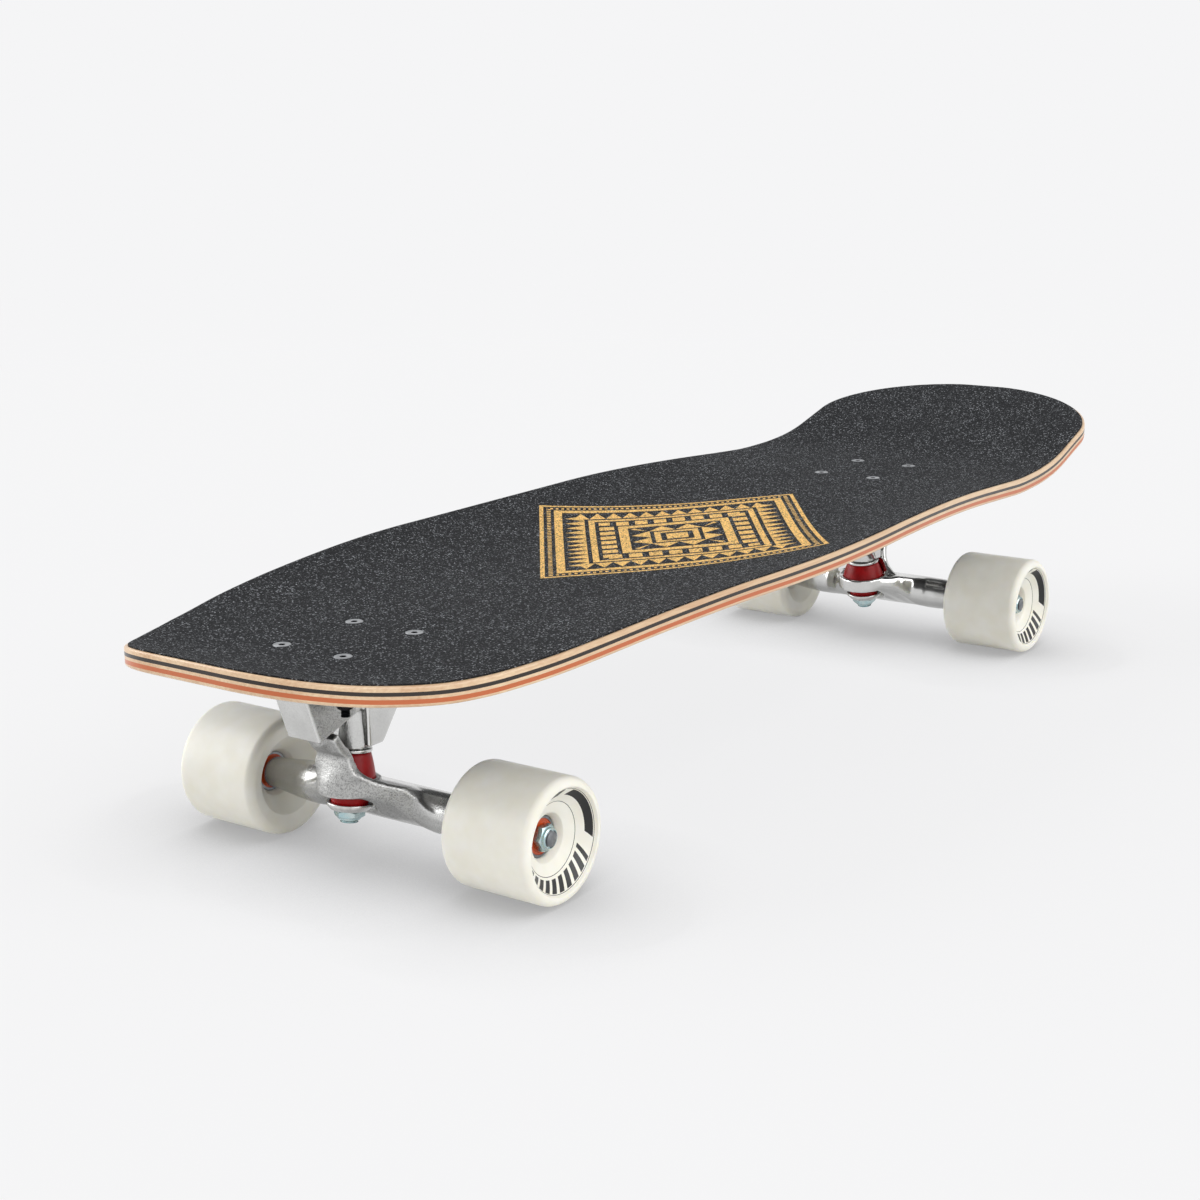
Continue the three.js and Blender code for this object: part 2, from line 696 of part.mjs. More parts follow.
function webSide(truck) {
  // The web's section along the board: up past the upper bushing, then along the steering axis
  const at = stack(truck);
  const lean = Math.atan2(truck.pivotRun, truck.pivotRise);
  const pin = kingpinMatrix(truck);
  const beside = (height, radius) => {
    const point = new THREE.Vector3(radius, 0, height).applyMatrix4(pin);
    return new THREE.Vector2(point.x, point.z);
  };
  const ring = new THREE.Vector2(truck.ringOffset, axleZ + truck.ringRise);
  const pivot = ring.clone().add(new THREE.Vector2(truck.pivotRun, truck.pivotRise));
  const axis = new THREE.Vector2(Math.sin(lean), Math.cos(lean));
  const middle = new THREE.SplineCurve([
    beside(-ringThickness / 2, bodyRadius - webThickness / 2),
    beside(at.upperFoot, bodyRadius - webThickness / 2),
    beside(at.upperTop, truck.upperTopRadius + webStandOff),
    pivot.clone().addScaledVector(axis, -webTopDrop - 2 * webThickness),
    pivot.clone().addScaledVector(axis, -webTopDrop),
  ]);
  const front = [];
  const back = [];
  if (standsOnBar(truck)) {
    const [outer, inner] =
      [bodyRadius, bodyRadius - webThickness].map((r) => beside(-ringThickness / 2, r).x);
    front.push(new THREE.Vector2(outer, axleZ));
    back.push(new THREE.Vector2(inner, axleZ));
  }
  for (let i = 0; i <= webProfileSteps; i += 1) {
    const point = middle.getPoint(i / webProfileSteps);
    const along = middle.getTangent(i / webProfileSteps);
    const across = new THREE.Vector2(along.y, -along.x).multiplyScalar(webThickness / 2);
    front.push(point.clone().add(across));
    back.unshift(point.clone().sub(across));
  }
  return new THREE.Shape([...front, ...back]);
}

function webHalfWidth(truck) {
  return webTopHalfWidth + webFlare + (standsOnBar(truck) ? webRunOut : 0);
}

function webFront(truck) {
  // The web's outline seen along the board: narrow at the pivot, spreading into the bar
  const ringZ = axleZ + truck.ringRise;
  const lean = THREE.MathUtils.degToRad(kingpinLeanDegrees);
  const footRise = (bodyRadius - webThickness / 2) * Math.sin(lean);
  const footZ = ringZ - (ringThickness / 2) * Math.cos(lean) + footRise;
  const waistZ = ringZ + webFlareWaist;
  const waist = webTopHalfWidth + webFlareWaistOut;
  const wide = webTopHalfWidth + webFlare;
  const side = new THREE.Path();
  side.moveTo(gussetHalfWidth, footZ);
  if (standsOnBar(truck)) {
    side.lineTo(gussetHalfWidth + gussetRun, axleZ);
    side.lineTo(webHalfWidth(truck), axleZ);
    side.quadraticCurveTo(wide + webRunOutWaistOut, axleZ + webRunOutWaist, wide, ringZ);
  } else {
    side.lineTo(wide, footZ);
    side.lineTo(wide, ringZ);
  }
  side.quadraticCurveTo(waist, waistZ, webTopHalfWidth, ringZ + webFlareRise);
  side.lineTo(webTopHalfWidth, ringZ + truck.pivotRise);
  const right = side.getPoints(flareSteps);
  const left = right.map((point) => new THREE.Vector2(-point.x, point.y)).reverse();
  return new THREE.Shape([...right, ...left]);
}

function web(truck) {
  // The side view made as wide as the foot, wrapped round the ring, then cut to the front outline
  const wide = webHalfWidth(truck);
  const settings = { depth: 2 * wide, bevelEnabled: false, steps: 2 * webSteps };
  const side = new THREE.ExtrudeGeometry(webSide(truck), settings)
    .rotateX(Math.PI / 2)
    .translate(0, wide, 0);
  const ringZ = axleZ + truck.ringRise;
  const follow = truck.axleOffset < truck.ringOffset ? wide : webWrap;
  const position = side.attributes.position;
  for (let i = 0; i < position.count; i += 1) {
    const across = Math.min(Math.abs(position.getY(i)), follow);
    const height = position.getZ(i) - ringZ;
    const wrap = 1 - THREE.MathUtils.smoothstep(height, webFlatFrom, webFlatTo);
    const back = (bodyRadius - edgeReach(truck, across)) * wrap;
    position.setX(i, position.getX(i) - back);
  }
  const reach = truck.pivotRun + 2 * bodyRadius + Math.abs(truck.axleOffset);
  const outline = { depth: 2 * reach, bevelEnabled: false };
  const front = new THREE.ExtrudeGeometry(webFront(truck), outline)
    .rotateX(Math.PI / 2)
    .rotateZ(Math.PI / 2)
    .translate(truck.ringOffset - reach, 0, 0);
  return solid(side).intersect(solid(front));
}

function pivotPin(truck) {
  const ball = pivotPinRadius * Math.SQRT1_2;
  const rootLow = -webTopDrop - 2 * pivotRootRun;
  const profile = [
    [0, rootLow], [pivotRootRadius / 2, rootLow], [pivotRootRadius, -webTopDrop - pivotRootRun / 2],
    [pivotPinRadius, -webTopDrop + pivotRootRun / 2], [pivotPinRadius, 0], [ball, ball], [0, pivotPinRadius],
  ];
  return solid(turned(profile, roundSides).applyMatrix4(steeringMatrix(truck)));
}

function hanger(truck) {
  const at = stack(truck);
  const pin = kingpinMatrix(truck);
  const half = ringThickness / 2;
  const ring = rod(truck.ringRadius, -half, half, roundSides).applyMatrix4(pin);
  const footRadius = outerFor(truck.upperFootRadius + fit, roundSides);
  const topRadius = outerFor(truck.upperTopRadius + upperWasherMargin + upperWasherRoom, roundSides);
  const above = [
    [0, at.upperSeat], [footRadius, at.upperSeat], [footRadius, at.upperFoot + fit],
    [topRadius, at.upperTop], [topRadius, at.bossFoot], [0, at.bossFoot],
  ];
  const lowerRadius = outerFor(lowerBushingRadius + fit, roundSides);
  const below = [
    [0, at.pinTip - cutOverrun], [stackClearRadius, at.pinTip - cutOverrun], [stackClearRadius, -half],
    [lowerRadius, -half], [lowerRadius, at.lowerSeat], [0, at.lowerSeat],
  ];
  const hole = rod(ringHoleRadius, -ringThickness, ringThickness, roundSides).applyMatrix4(pin);
  const axleRadius = outerFor(axleDiameter / 2 + fit / 2, roundSides);
  const axleHole = rod(axleRadius, -armEndY - cutOverrun, armEndY + cutOverrun, roundSides)
    .rotateX(Math.PI / 2)
    .translate(truck.axleOffset, 0, axleZ);
  let body = solid(barAndBody(truck)).add(solid(ring)).add(web(truck)).add(pivotPin(truck));
  body = body.subtract(solid(turned(above, roundSides).applyMatrix4(pin)));
  body = body.subtract(solid(turned(below, roundSides).applyMatrix4(pin)));
  body = body.subtract(solid(hole)).subtract(solid(axleHole));
  return named(`${truck.name}_hanger`, geometryOf(body), looks.cast());
}

// Axle, wheels and bearings
function axle(truck) {
  const bar = rod(axleDiameter / 2, -axleHalfLength, axleHalfLength, roundSides);
  const mesh = named(`${truck.name}_axle`, bar, looks.steel());
  mesh.rotation.x = Math.PI / 2;
  mesh.position.set(truck.axleOffset, 0, axleZ);
  return mesh;
}

function wheel(name) {
  const half = wheelWidth / 2;
  const radius = outerFor(wheelDiameter / 2, wheelSides);
  const seat = outerFor(bearingOuter / 2 + fit / 2, wheelSides);
  const shoulder = seat - bearingShoulder;
  const seatEnd = bearingSpacing / 2 + bearingWidth + fit;
  const middle = bearingSpacing / 2 - fit;
  const hub = [
    [shoulder, middle], [seat, middle], [seat, seatEnd], [wheelDishFoot, half - wheelDishFootDepth],
  ];
  const lip = [];
  for (let i = 0; i <= lipSteps; i += 1) {
    const angle = (i * Math.PI) / 2 / lipSteps;
    const [out, along] = [wheelLip * Math.sin(angle), wheelLip * Math.cos(angle)];
    lip.push([radius - wheelLip + out, half - wheelLip + along]);
  }
  const outerDish = [[wheelDishMid, half - wheelDishMidDepth], [wheelDishStart, half - wheelDishStartDepth]];
  const upper = [...hub, ...outerDish, ...lip];
  const lower = [...hub, [wheelBackStart, half - wheelBackStartDepth], ...lip]
    .map(([r, y]) => [r, -y])
    .reverse();
  const tread = turned([...lower, ...upper, lower[0]].reverse(), wheelSides);
  return named(name, tread.rotateZ(Math.PI / wheelSides), looks.urethane());
}

function bearing(name, low) {
  const bore = outerFor(bearingBore / 2 + fit / 2, roundSides);
  const rim = bearingOuter / 2;
  const high = low + bearingWidth;
  const profile = [
    [bore, low], [rim - bearingChamfer, low], [rim, low + bearingChamfer],
    [rim, high - bearingChamfer], [rim - bearingChamfer, high], [bore, high], [bore, low],
  ];
  return named(name, turned(profile, roundSides), looks.shield());
}

function wheelSet(truck, side, label) {
  // One wheel with its bearings, spacer and nut, built along the axle from its middle outwards
  const name = `${truck.name}_${label}`;
  const bore = outerFor(axleDiameter / 2 + fit / 2, roundSides);
  const outward = new THREE.Group();
  const hub = wheel(`${name}_wheel`);
  hub.position.z = wheelMiddleY;
  const spacerHalf = bearingSpacing / 2 - fit;
  const spacer = tube(bore, spacerDiameter / 2, -spacerHalf, spacerHalf, roundSides);
  spacer.translate(0, 0, wheelMiddleY);
  outward.add(hub);
  outward.add(bearing(`${name}_inner_bearing`, innerBearingY));
  outward.add(bearing(`${name}_outer_bearing`, outerBearingY - bearingWidth));
  outward.add(named(`${name}_bearing_spacer`, spacer, looks.steel()));
  const nut = hexNut(axleNutAcross, axleNutHeight, axleDiameter / 2 + fit / 2, axleNutY);
  outward.add(named(`${name}_axle_nut`, nut, looks.zinc()));
  outward.rotation.x = (-side * Math.PI) / 2;
  outward.position.set(truck.axleOffset, 0, axleZ);
  return outward;
}

function truckAssembly(truck, x) {
  const group = new THREE.Group();
  const pinned = new THREE.Group();
  pinned.applyMatrix4(kingpinMatrix(truck));
  pinned.add(kingpin(truck), kingpinNut(truck), upperBushing(truck), lowerBushing(truck));
  pinned.add(upperWasher(truck), lowerWasher(truck));
  group.add(pinned, baseplate(truck), pivotCup(truck), hanger(truck), axle(truck));
  const leftSide = truck.pivotTowardsNose ? 1 : -1;
  group.add(wheelSet(truck, leftSide, 'left'), wheelSet(truck, -leftSide, 'right'));
  group.position.x = x;
  group.rotation.z = truck.pivotTowardsNose ? 0 : Math.PI;
  return group;
}

const board = new THREE.Group();
board.add(deck(), gripTape());
for (const place of boltPlaces()) board.add(mountingScrew(place), lockNut(place));
board.add(truckAssembly(frontTruck, frontBoltsX), truckAssembly(rearTruck, rearBoltsX));

export default board;
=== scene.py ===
"""Surf skateboard: the finished look of every piece, laid out as a Blender add-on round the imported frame.

Metres, +X towards the nose, +Y the rider's left in a regular stance, +Z up, ground at zero.
"""

import json
import math

import bmesh
import bpy
from bpy.props import FloatProperty, FloatVectorProperty, PointerProperty
from mathutils import Matrix, Vector

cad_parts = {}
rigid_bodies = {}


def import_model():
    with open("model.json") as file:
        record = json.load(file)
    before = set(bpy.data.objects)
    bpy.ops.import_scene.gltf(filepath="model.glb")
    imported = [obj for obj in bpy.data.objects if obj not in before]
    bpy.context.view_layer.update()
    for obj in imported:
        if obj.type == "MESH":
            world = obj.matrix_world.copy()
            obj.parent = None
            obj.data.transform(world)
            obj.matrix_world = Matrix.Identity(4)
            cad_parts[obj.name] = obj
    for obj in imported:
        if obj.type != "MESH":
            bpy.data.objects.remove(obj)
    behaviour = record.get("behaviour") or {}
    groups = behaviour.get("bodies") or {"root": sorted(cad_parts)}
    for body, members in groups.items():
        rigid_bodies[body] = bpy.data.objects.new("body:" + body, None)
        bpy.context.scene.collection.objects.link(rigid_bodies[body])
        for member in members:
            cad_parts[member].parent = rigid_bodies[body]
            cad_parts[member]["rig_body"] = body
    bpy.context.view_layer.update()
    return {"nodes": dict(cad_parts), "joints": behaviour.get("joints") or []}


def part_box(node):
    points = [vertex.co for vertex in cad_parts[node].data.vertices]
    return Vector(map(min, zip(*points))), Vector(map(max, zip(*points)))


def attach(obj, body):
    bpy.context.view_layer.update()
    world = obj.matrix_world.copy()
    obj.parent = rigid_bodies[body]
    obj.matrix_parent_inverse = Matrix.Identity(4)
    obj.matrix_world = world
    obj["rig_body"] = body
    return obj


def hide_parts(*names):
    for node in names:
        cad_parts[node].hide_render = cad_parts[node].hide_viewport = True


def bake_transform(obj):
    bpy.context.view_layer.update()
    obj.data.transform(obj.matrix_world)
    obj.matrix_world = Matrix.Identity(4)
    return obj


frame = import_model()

bl_info = {
    "name": "Surf Skateboard",
    "version": (1, 0, 0),
    "blender": (4, 5, 0),
    "location": "3D View > Sidebar > Board",
    "description": "Builds the pieces of a surf skateboard and the studio it stands in",
    "category": "Object",
}

# What the frame says
JOINTS = {joint["name"]: joint for joint in frame["joints"]}
NODES = frame["nodes"]
TRUCKS = ("front", "rear")
WHEELS = [f"{truck}_{side}" for truck in TRUCKS for side in ("left", "right")]
SCREWS = [f"{truck}_{{}}_{number}" for truck in TRUCKS for number in (1, 2, 3, 4)]


# Units and colours
def mm(value):
    return value / 1000


def linear(code, alpha=1.0):
    """An sRGB hex value such as C9A35A as linear red, green, blue and alpha."""
    shares = [int(code[i : i + 2], 16) / 255 for i in (0, 2, 4)]
    return (*[c / 12.92 if c <= 0.04045 else ((c + 0.055) / 1.055) ** 2.4 for c in shares], alpha)


def length(name, description, millimetres):
    return FloatProperty(
        name=name, description=description, default=mm(millimetres), unit="LENGTH", precision=5
    )


def tilt(name, description, degrees):
    return FloatProperty(name=name, description=description, default=math.radians(degrees), subtype="ANGLE")


def colour(name, description, code):
    return FloatVectorProperty(
        name=name, description=description, default=linear(code), size=4, min=0, max=1, subtype="COLOR"
    )


# Sizes and colours that a user would change
class DeckSizes(bpy.types.PropertyGroup):
    """Sizes of the deck and of the grip tape on it."""

    nose_length: length("Nose length", "Nose end to the middle of the front bolt pattern", 110)
    bolt_span: length("Bolt span", "Middle of one bolt pattern to the middle of the other", 549)
    tail_length: length("Tail length", "Middle of the rear bolt pattern to the tail end", 196)
    width: length("Width", "Widest place of the deck", 262)
    nose_round: length("Nose round", "Stretch over which the nose rounds in", 105)
    tail_round: length("Tail round", "Stretch over which the tail rounds in", 66)
    nose_tip: length("Nose tip", "Half width of the straight edge at the nose", 26)
    tail_tip: length("Tail tip", "Half width of the straight edge at the tail", 14)
    edge_round: length("Edge round", "Rounding of the deck's top and bottom edges", 1.4)
    rocker: length("Rocker", "How far the middle hangs below the truck flats", 3.2)
    concave: length("Concave", "How far the edges rise above the middle of the board", 12.8)
    print_length: length("Print length", "Half length of the gold diamond on the grip", 142)
    print_width: length("Print width", "Half width of the gold diamond on the grip", 108)


class TruckSizes(bpy.types.PropertyGroup):
    """Sizes of the trucks' turned, threaded and cast pieces."""

    lean: tilt("Kingpin lean", "How far the kingpin leans away from the pivot", 7)
    pivot_reach: length("Pivot reach", "From the ring's middle to the pivot, along the steering axis", 43.8)
    kingpin_diameter: length("Kingpin diameter", "Shank of the kingpin", 9.5)
    kingpin_pitch: length("Kingpin thread", "Pitch of the kingpin's thread", 1.06)
    nut_across: length("Kingpin nut", "Kingpin nut across its flats", 14.3)
    axle_diameter: length("Axle diameter", "Shank of the axle", 8)
    axle_pitch: length("Axle thread", "Pitch of the axle's thread", 1.06)
    axle_nut_across: length("Axle nut", "Axle nut across its flats", 12.7)
    screw_diameter: length("Screw diameter", "Shank of a mounting screw", 4.8)
    screw_head: length("Screw head", "Diameter of a mounting screw's head", 9.6)
    screw_socket: length("Screw socket", "Hex socket in a screw head, across its flats", 3.2)
    screw_pitch: length("Screw thread", "Pitch of the mounting screws' thread", 0.8)
    lock_nut_across: length("Lock nut", "Lock nut across its flats", 9.5)
    cast_voxel: length("Casting detail", "Mesh size of the cast pieces", 0.65)


class WheelSizes(bpy.types.PropertyGroup):
    """Sizes of the wheels and bearings."""

    lip: length("Lip", "Rounding of the wheel's edges", 4.6)
    dish_start: length("Dish start", "Radius where the outer face's dish starts, behind the lip", 27.2)
    dish_start_depth: length("Dish start depth", "Depth of the outer dish at its start", 1.6)
    dish_middle: length("Dish middle", "Radius half way down the outer dish", 19.6)
    dish_middle_depth: length("Dish middle depth", "Depth of the outer dish half way down", 8.2)
    back_start: length("Back start", "Radius where the dish on the truck's side starts", 22)
    back_start_depth: length("Back start depth", "Depth of the inner dish at its start", 2)
    dish_foot: length("Dish foot", "Radius where both dishes end beside the bearings", 13)
    dish_foot_depth: length("Dish foot depth", "Depth where both dishes end", 11.2)
    bearing_outer: length("Bearing outside", "Outer diameter of a bearing", 22)
    bearing_bore: length("Bearing bore", "Inner diameter of a bearing", 8)
    bearing_width: length("Bearing width", "Width of a bearing", 7)
    bearing_spacing: length("Bearing spacing", "Between the two bearings of one wheel", 10.2)
    print_inner: length("Print inside", "Inner radius of the printed band", 20.6)
    print_outer: length("Print outside", "Outer radius of the printed band", 26.4)


class BoardColours(bpy.types.PropertyGroup):
    """Colours of the finishes, in linear light."""

    maple: colour("Maple", "Lacquered natural maple", "EBD0AD")
    maple_dark: colour("Maple grain", "Darker grain of the maple", "CBA07A")
    black_ply: colour("Black ply", "Dyed black veneer", "20160E")
    orange_ply: colour("Orange ply", "Dyed orange veneer", "C4683A")
    under: colour("Underside", "Satin black stain under the deck", "1A1A1B")
    grip: colour("Grip", "Abrasive grain in its binder", "28292B")
    # The grit colour is the painted glint of grains that catch the light
    grit: colour("Grit", "Grains that catch the light", "C8CCD2")
    gold: colour("Gold print", "Ink printed on the grip", "E2B872")
    aluminium: colour("Aluminium", "Raw cast aluminium", "DADAD8")
    zinc: colour("Zinc", "Clear zinc plating on steel", "C2CFCE")
    steel: colour("Steel", "Turned steel", "8E9092")
    black_steel: colour("Black steel", "Black oxide on steel", "1B1B1E")
    urethane: colour("Wheel urethane", "Cast urethane of the wheels", "F6F4EB")
    ink: colour("Wheel ink", "Pad printed ink on the wheels", "1C1C1C")
    bushing: colour("Bushing urethane", "Cast urethane of the bushings", "92070C")
    shield: colour("Bearing shield", "Moulded shield of a bearing", "CE5422")
    nylon: colour("Nylon", "Black nylon of the pivot cups", "1C1C1E")


def deck_sizes():
    return bpy.context.scene.board_deck


def truck_sizes():
    return bpy.context.scene.board_truck


def wheel_sizes():
    return bpy.context.scene.board_wheel


def colours():
    return bpy.context.scene.board_colours


# Shader nodes
def node_maker(owner):
    """The function that adds one node to a material or a world."""
    tree = owner.node_tree

    def add(kind, *values, give=None, **named):
        """A node with its settings, and values or links on its sockets. Plain values go to the sockets in
        use, in order. A name with a capital letter is a socket's, and any other is a setting's. It gives
        the output that is named, or the first one in use."""
        made = tree.nodes.new(f"ShaderNode{kind}")
        for name, value in named.items():
            if name.islower():
                setattr(made, name, value)
        chosen = list(zip([socket for socket in made.inputs if socket.enabled], values))
        chosen += [(made.inputs[name.replace("_", " ")], named[name]) for name in named if not name.islower()]
        for socket, value in chosen:
            if isinstance(value, bpy.types.NodeSocket):
                tree.links.new(value, socket)
            else:
                socket.default_value = value
        if give:
            return made.outputs[give]
        return next((socket for socket in made.outputs if socket.enabled), None)

    return add


# Finishes
GRAIN_WIDTH = mm(1.4)
GRAIN_STRETCH = 0.035
PLY_STEPS = ((0.0, "maple"), (0.157, "orange_ply"), (0.37, "maple"), (0.525, "black_ply"), (0.71, "maple"))
STAIN_DEPTH = 0.004
GRIT_SIZE = mm(0.7)
GRIT_BUMP = mm(0.28)
PEBBLE_SIZE = mm(0.6)
PEBBLE_BUMP = mm(0.22)
PRINT_PLACE = mm(14)  # middle of the gold diamond along the deck
PRINT_BARS = 26  # slanted bars that would fill a wheel's whole turn
PRINT_SLANT = 6.0
PRINT_LEVEL = mm(10)  # the ink lies only on a wheel's outer face, beyond this level


def lacquered_maple_plies(add):
    """Cold pressed maple veneers under clear lacquer: long fine grain, bands of dyed plies at the edge, and a
    black stain over the underside that lets the grain show faintly."""
    paint = colours()
    depth = add("Attribute", attribute_name="ply_depth", give="Fac")
    place = add("Mapping", add("TexCoord", give="Object"), Scale=(GRAIN_STRETCH, 1, 1))
    fine = add("TexNoise", place, Scale=1 / GRAIN_WIDTH, Detail=4.0, Roughness=0.6)
    broad = add("TexNoise", place, Scale=1 / (14 * GRAIN_WIDTH))
    figure = add(
        "Math",
        add("Math", fine, 0.55, operation="MULTIPLY"),
        add("Math", broad, 0.6, operation="MULTIPLY"),
        operation="ADD",
    )
    natural = add(
        "Mix",
        add("MapRange", figure, 0.42, 0.78),
        paint.maple,
        paint.maple_dark,
        data_type="RGBA",
    )
    tone = {"maple": natural, "black_ply": paint.black_ply, "orange_ply": paint.orange_ply}
    colour_now = natural
    for start, name in PLY_STEPS[1:]:
        above = add("Math", depth, start, operation="GREATER_THAN")
        colour_now = add("Mix", above, colour_now, tone[name], data_type="RGBA")
    stain = add(
        "Mix", add("MapRange", figure, 0.42, 0.78), paint.under, linear("29292B"), data_type="RGBA"
    )
    colour_now = add(
        "Mix", add("Math", depth, STAIN_DEPTH, operation="LESS_THAN"), colour_now, stain, data_type="RGBA"
    )
    pores = add(
        "TexNoise",
        add("Mapping", add("TexCoord", give="Object"), Scale=(0.08, 1, 1)),
        Scale=1 / mm(0.5),
        Detail=3.0,
    )
    return add(
        "BsdfPrincipled",
        Base_Color=colour_now,
        Roughness=add("MapRange", pores, 0.3, 0.7, 0.28, 0.42),
        Coat_Weight=0.18,
        Coat_Roughness=0.12,
        Normal=add("Bump", Height=pores, Distance=mm(0.04), Strength=0.6),
    )


def diamond_print(add):
    """Where the gold ink lies: a woven diamond of nested lines, teeth and bars."""
    sizes = deck_sizes()
    place = add("TexCoord", give="Object")
    axes = add("SeparateXYZ", place).node
    along = add(
        "Math",
        add("Math", axes.outputs[0], PRINT_PLACE, operation="SUBTRACT"),
        sizes.print_length,
        operation="DIVIDE",
    )
    across = add("Math", axes.outputs[1], sizes.print_width, operation="DIVIDE")
    along = add("Math", along, operation="ABSOLUTE")
    across = add("Math", across, operation="ABSOLUTE")
    ring = add("Math", along, across, operation="ADD")
    run = add("Math", along, across, operation="SUBTRACT")

    def band(low, high):
        inside = add("Math", ring, low, operation="GREATER_THAN")
        return add("Math", inside, add("Math", ring, high, operation="LESS_THAN"), operation="MULTIPLY")

    def teeth(low, high, count):
        wave = add("Math", add("Math", run, count, operation="MULTIPLY"), 0.5, operation="PINGPONG")
        edge = add("Math", wave, 2 * (high - low), low, operation="MULTIPLY_ADD")
        return add(
            "Math", band(low, high), add("Math", ring, edge, operation="LESS_THAN"), operation="MULTIPLY"
        )

    def bars(low, high, count, filled):
        step = add("Math", add("Math", run, count, 10.0, operation="MULTIPLY_ADD"), operation="FRACT")
        return add(
            "Math", band(low, high), add("Math", step, filled, operation="LESS_THAN"), operation="MULTIPLY"
        )

    shapes = [
        band(0.0, 0.08), band(0.12, 0.165), teeth(0.195, 0.33, 5), band(0.35, 0.42),
        bars(0.45, 0.56, 7, 0.66), band(0.59, 0.635), teeth(0.665, 0.81, 8), band(0.83, 0.89),
        bars(0.915, 0.945, 24, 0.5), band(0.97, 1.0),
    ]
    mask = shapes[0]
    for shape in shapes[1:]:
        mask = add("Math", mask, shape, operation="MAXIMUM")
    return mask


def abrasive_grip_sheet(add):
    """Silicon carbide grain in black binder: matt, with the glints of scattered grains painted as light
    grains, drawn as coarse as they show from a step away. The gold ink is screen printed over the grain and
    lets its tips through."""
    paint = colours()
    place = add("TexCoord", give="Object")
    cells = add("TexVoronoi", place, Scale=1 / GRIT_SIZE).node
    chance = add("SeparateColor", cells.outputs["Color"]).node
    # Painted glints: scattered grains are lightened towards the grit colour, more in some broad patches than
    # others
    tone = add("Math", chance.outputs[0], 14.0, operation="POWER")
    cloud = add("TexNoise", place, Scale=1 / mm(30), Detail=3.0)
    painted_sparkle = add("Math", tone, add("MapRange", cloud, 0.3, 0.7, 0.4, 0.7), operation="MULTIPLY")
    grain_tone = add("Mix", chance.outputs[1], linear("18191B"), paint.grip, data_type="RGBA")
    base = add("Mix", painted_sparkle, grain_tone, paint.grit, data_type="RGBA")
    shade = add("MapRange", chance.outputs[1], 0.0, 1.0, 0.6, 1.6)
    gold = add("VectorMath", paint.gold[:3], Scale=shade, operation="SCALE").node
    ink = add(
        "Math",
        diamond_print(add),
        add("Math", chance.outputs[2], 0.93, operation="LESS_THAN"),
        operation="MULTIPLY",
    )
    grain = add("Math", 1.0, cells.outputs["Distance"], operation="SUBTRACT")
    return add(
        "BsdfPrincipled",
        Base_Color=add("Mix", ink, base, gold.outputs[0], data_type="RGBA"),
        Roughness=add("MapRange", tone, 0.0, 1.0, 0.85, 0.4),
        Specular_IOR_Level=0.12,
        Normal=add("Bump", Height=grain, Distance=GRIT_BUMP, Strength=0.9),
    )


def tumbled_cast_aluminium(add):
    """Aluminium poured in a mould and tumbled: a pebbled skin with painted shade between its pebbles and in
    its hollows, and a painted highlight along its ridges.
    The places that tools or tumbling have polished lose their pebbles and reflect more clearly."""
    place = add("TexCoord", give="Object")
    polish = add("Attribute", attribute_name="polish", give="Fac")
    hollow = add("Attribute", attribute_name="hollow", give="Fac")
    pebbles = add("TexVoronoi", place, Scale=1 / PEBBLE_SIZE, feature="SMOOTH_F1").node
    raised = add("Math", 1.0, pebbles.outputs["Distance"], operation="SUBTRACT")
    pitted = add("TexNoise", place, Scale=1 / (2.2 * PEBBLE_SIZE), Detail=3.0, Roughness=0.6)
    skin = add(
        "Math",
        add("Math", raised, 0.6, operation="MULTIPLY"),
        add("Math", pitted, 0.6, operation="MULTIPLY"),
        operation="ADD",
    )
    raw = add("MapRange", polish, 0.0, 1.0, 1.0, 0.1)
    stain = add("TexNoise", place, Scale=1 / mm(16), Detail=3.0)
    bright = add(
        "Mix",
        add("MapRange", stain, 0.35, 0.7),
        colours().aluminium,
        linear("CECECC"),
        data_type="RGBA",
    )
    # Painted shade between the pebbles of the raw skin, plus a darker tone over the raw skin as a whole
    raw_tone_and_painted_shade = add("Math", add("MapRange", skin, 0.48, 0.72, 1.0, 0.0), raw, operation="MULTIPLY")
    raw_tone_and_painted_shade = add("Math", raw_tone_and_painted_shade, 0.35, add("Math", raw, 0.34, operation="MULTIPLY"), operation="MULTIPLY_ADD")
    # Painted shade in the casting's hollows, taken from the hollow attribute, towards 5E5E5D
    painted_hollow_shade = add("MapRange", hollow, 0.1, 0.9, 0.0, 0.75)
    tone = add(
        "Mix", add("Math", raw_tone_and_painted_shade, painted_hollow_shade, operation="MAXIMUM"), bright, linear("5E5E5D"), data_type="RGBA"
    )
    # Painted highlight along the ridges, where the hollow attribute is below nought, towards E6E6E4
    tone = add(
        "Mix", add("MapRange", hollow, -0.75, -0.25, 0.8, 0.0), tone, linear("E6E6E4"), data_type="RGBA"
    )
    return add(
        "BsdfPrincipled",
        Base_Color=tone,
        Metallic=1.0,
        Roughness=add("MapRange", polish, 0.0, 1.0, 0.42, 0.2),
        Normal=add("Bump", Height=add("Math", skin, raw, operation="MULTIPLY"), Distance=PEBBLE_BUMP),
    )


def plated_steel(add, tone, roughness, blotch):
    """Steel with a thin bright plating that breaks up slightly in patches."""
    place = add("TexCoord", give="Object")
    patches = add("TexNoise", place, Scale=1 / mm(3.5), Detail=3.0)
    lines = add("TexNoise", place, Scale=1 / mm(0.4))
    return add(
        "BsdfPrincipled",
        Base_Color=add("Mix", add("MapRange", patches, 0.35, 0.7), tone, blotch, data_type="RGBA"),
        Metallic=1.0,
        Roughness=add("MapRange", patches, 0.3, 0.7, roughness, roughness + 0.12),
        Normal=add("Bump", Height=lines, Distance=mm(0.02), Strength=0.5),
    )


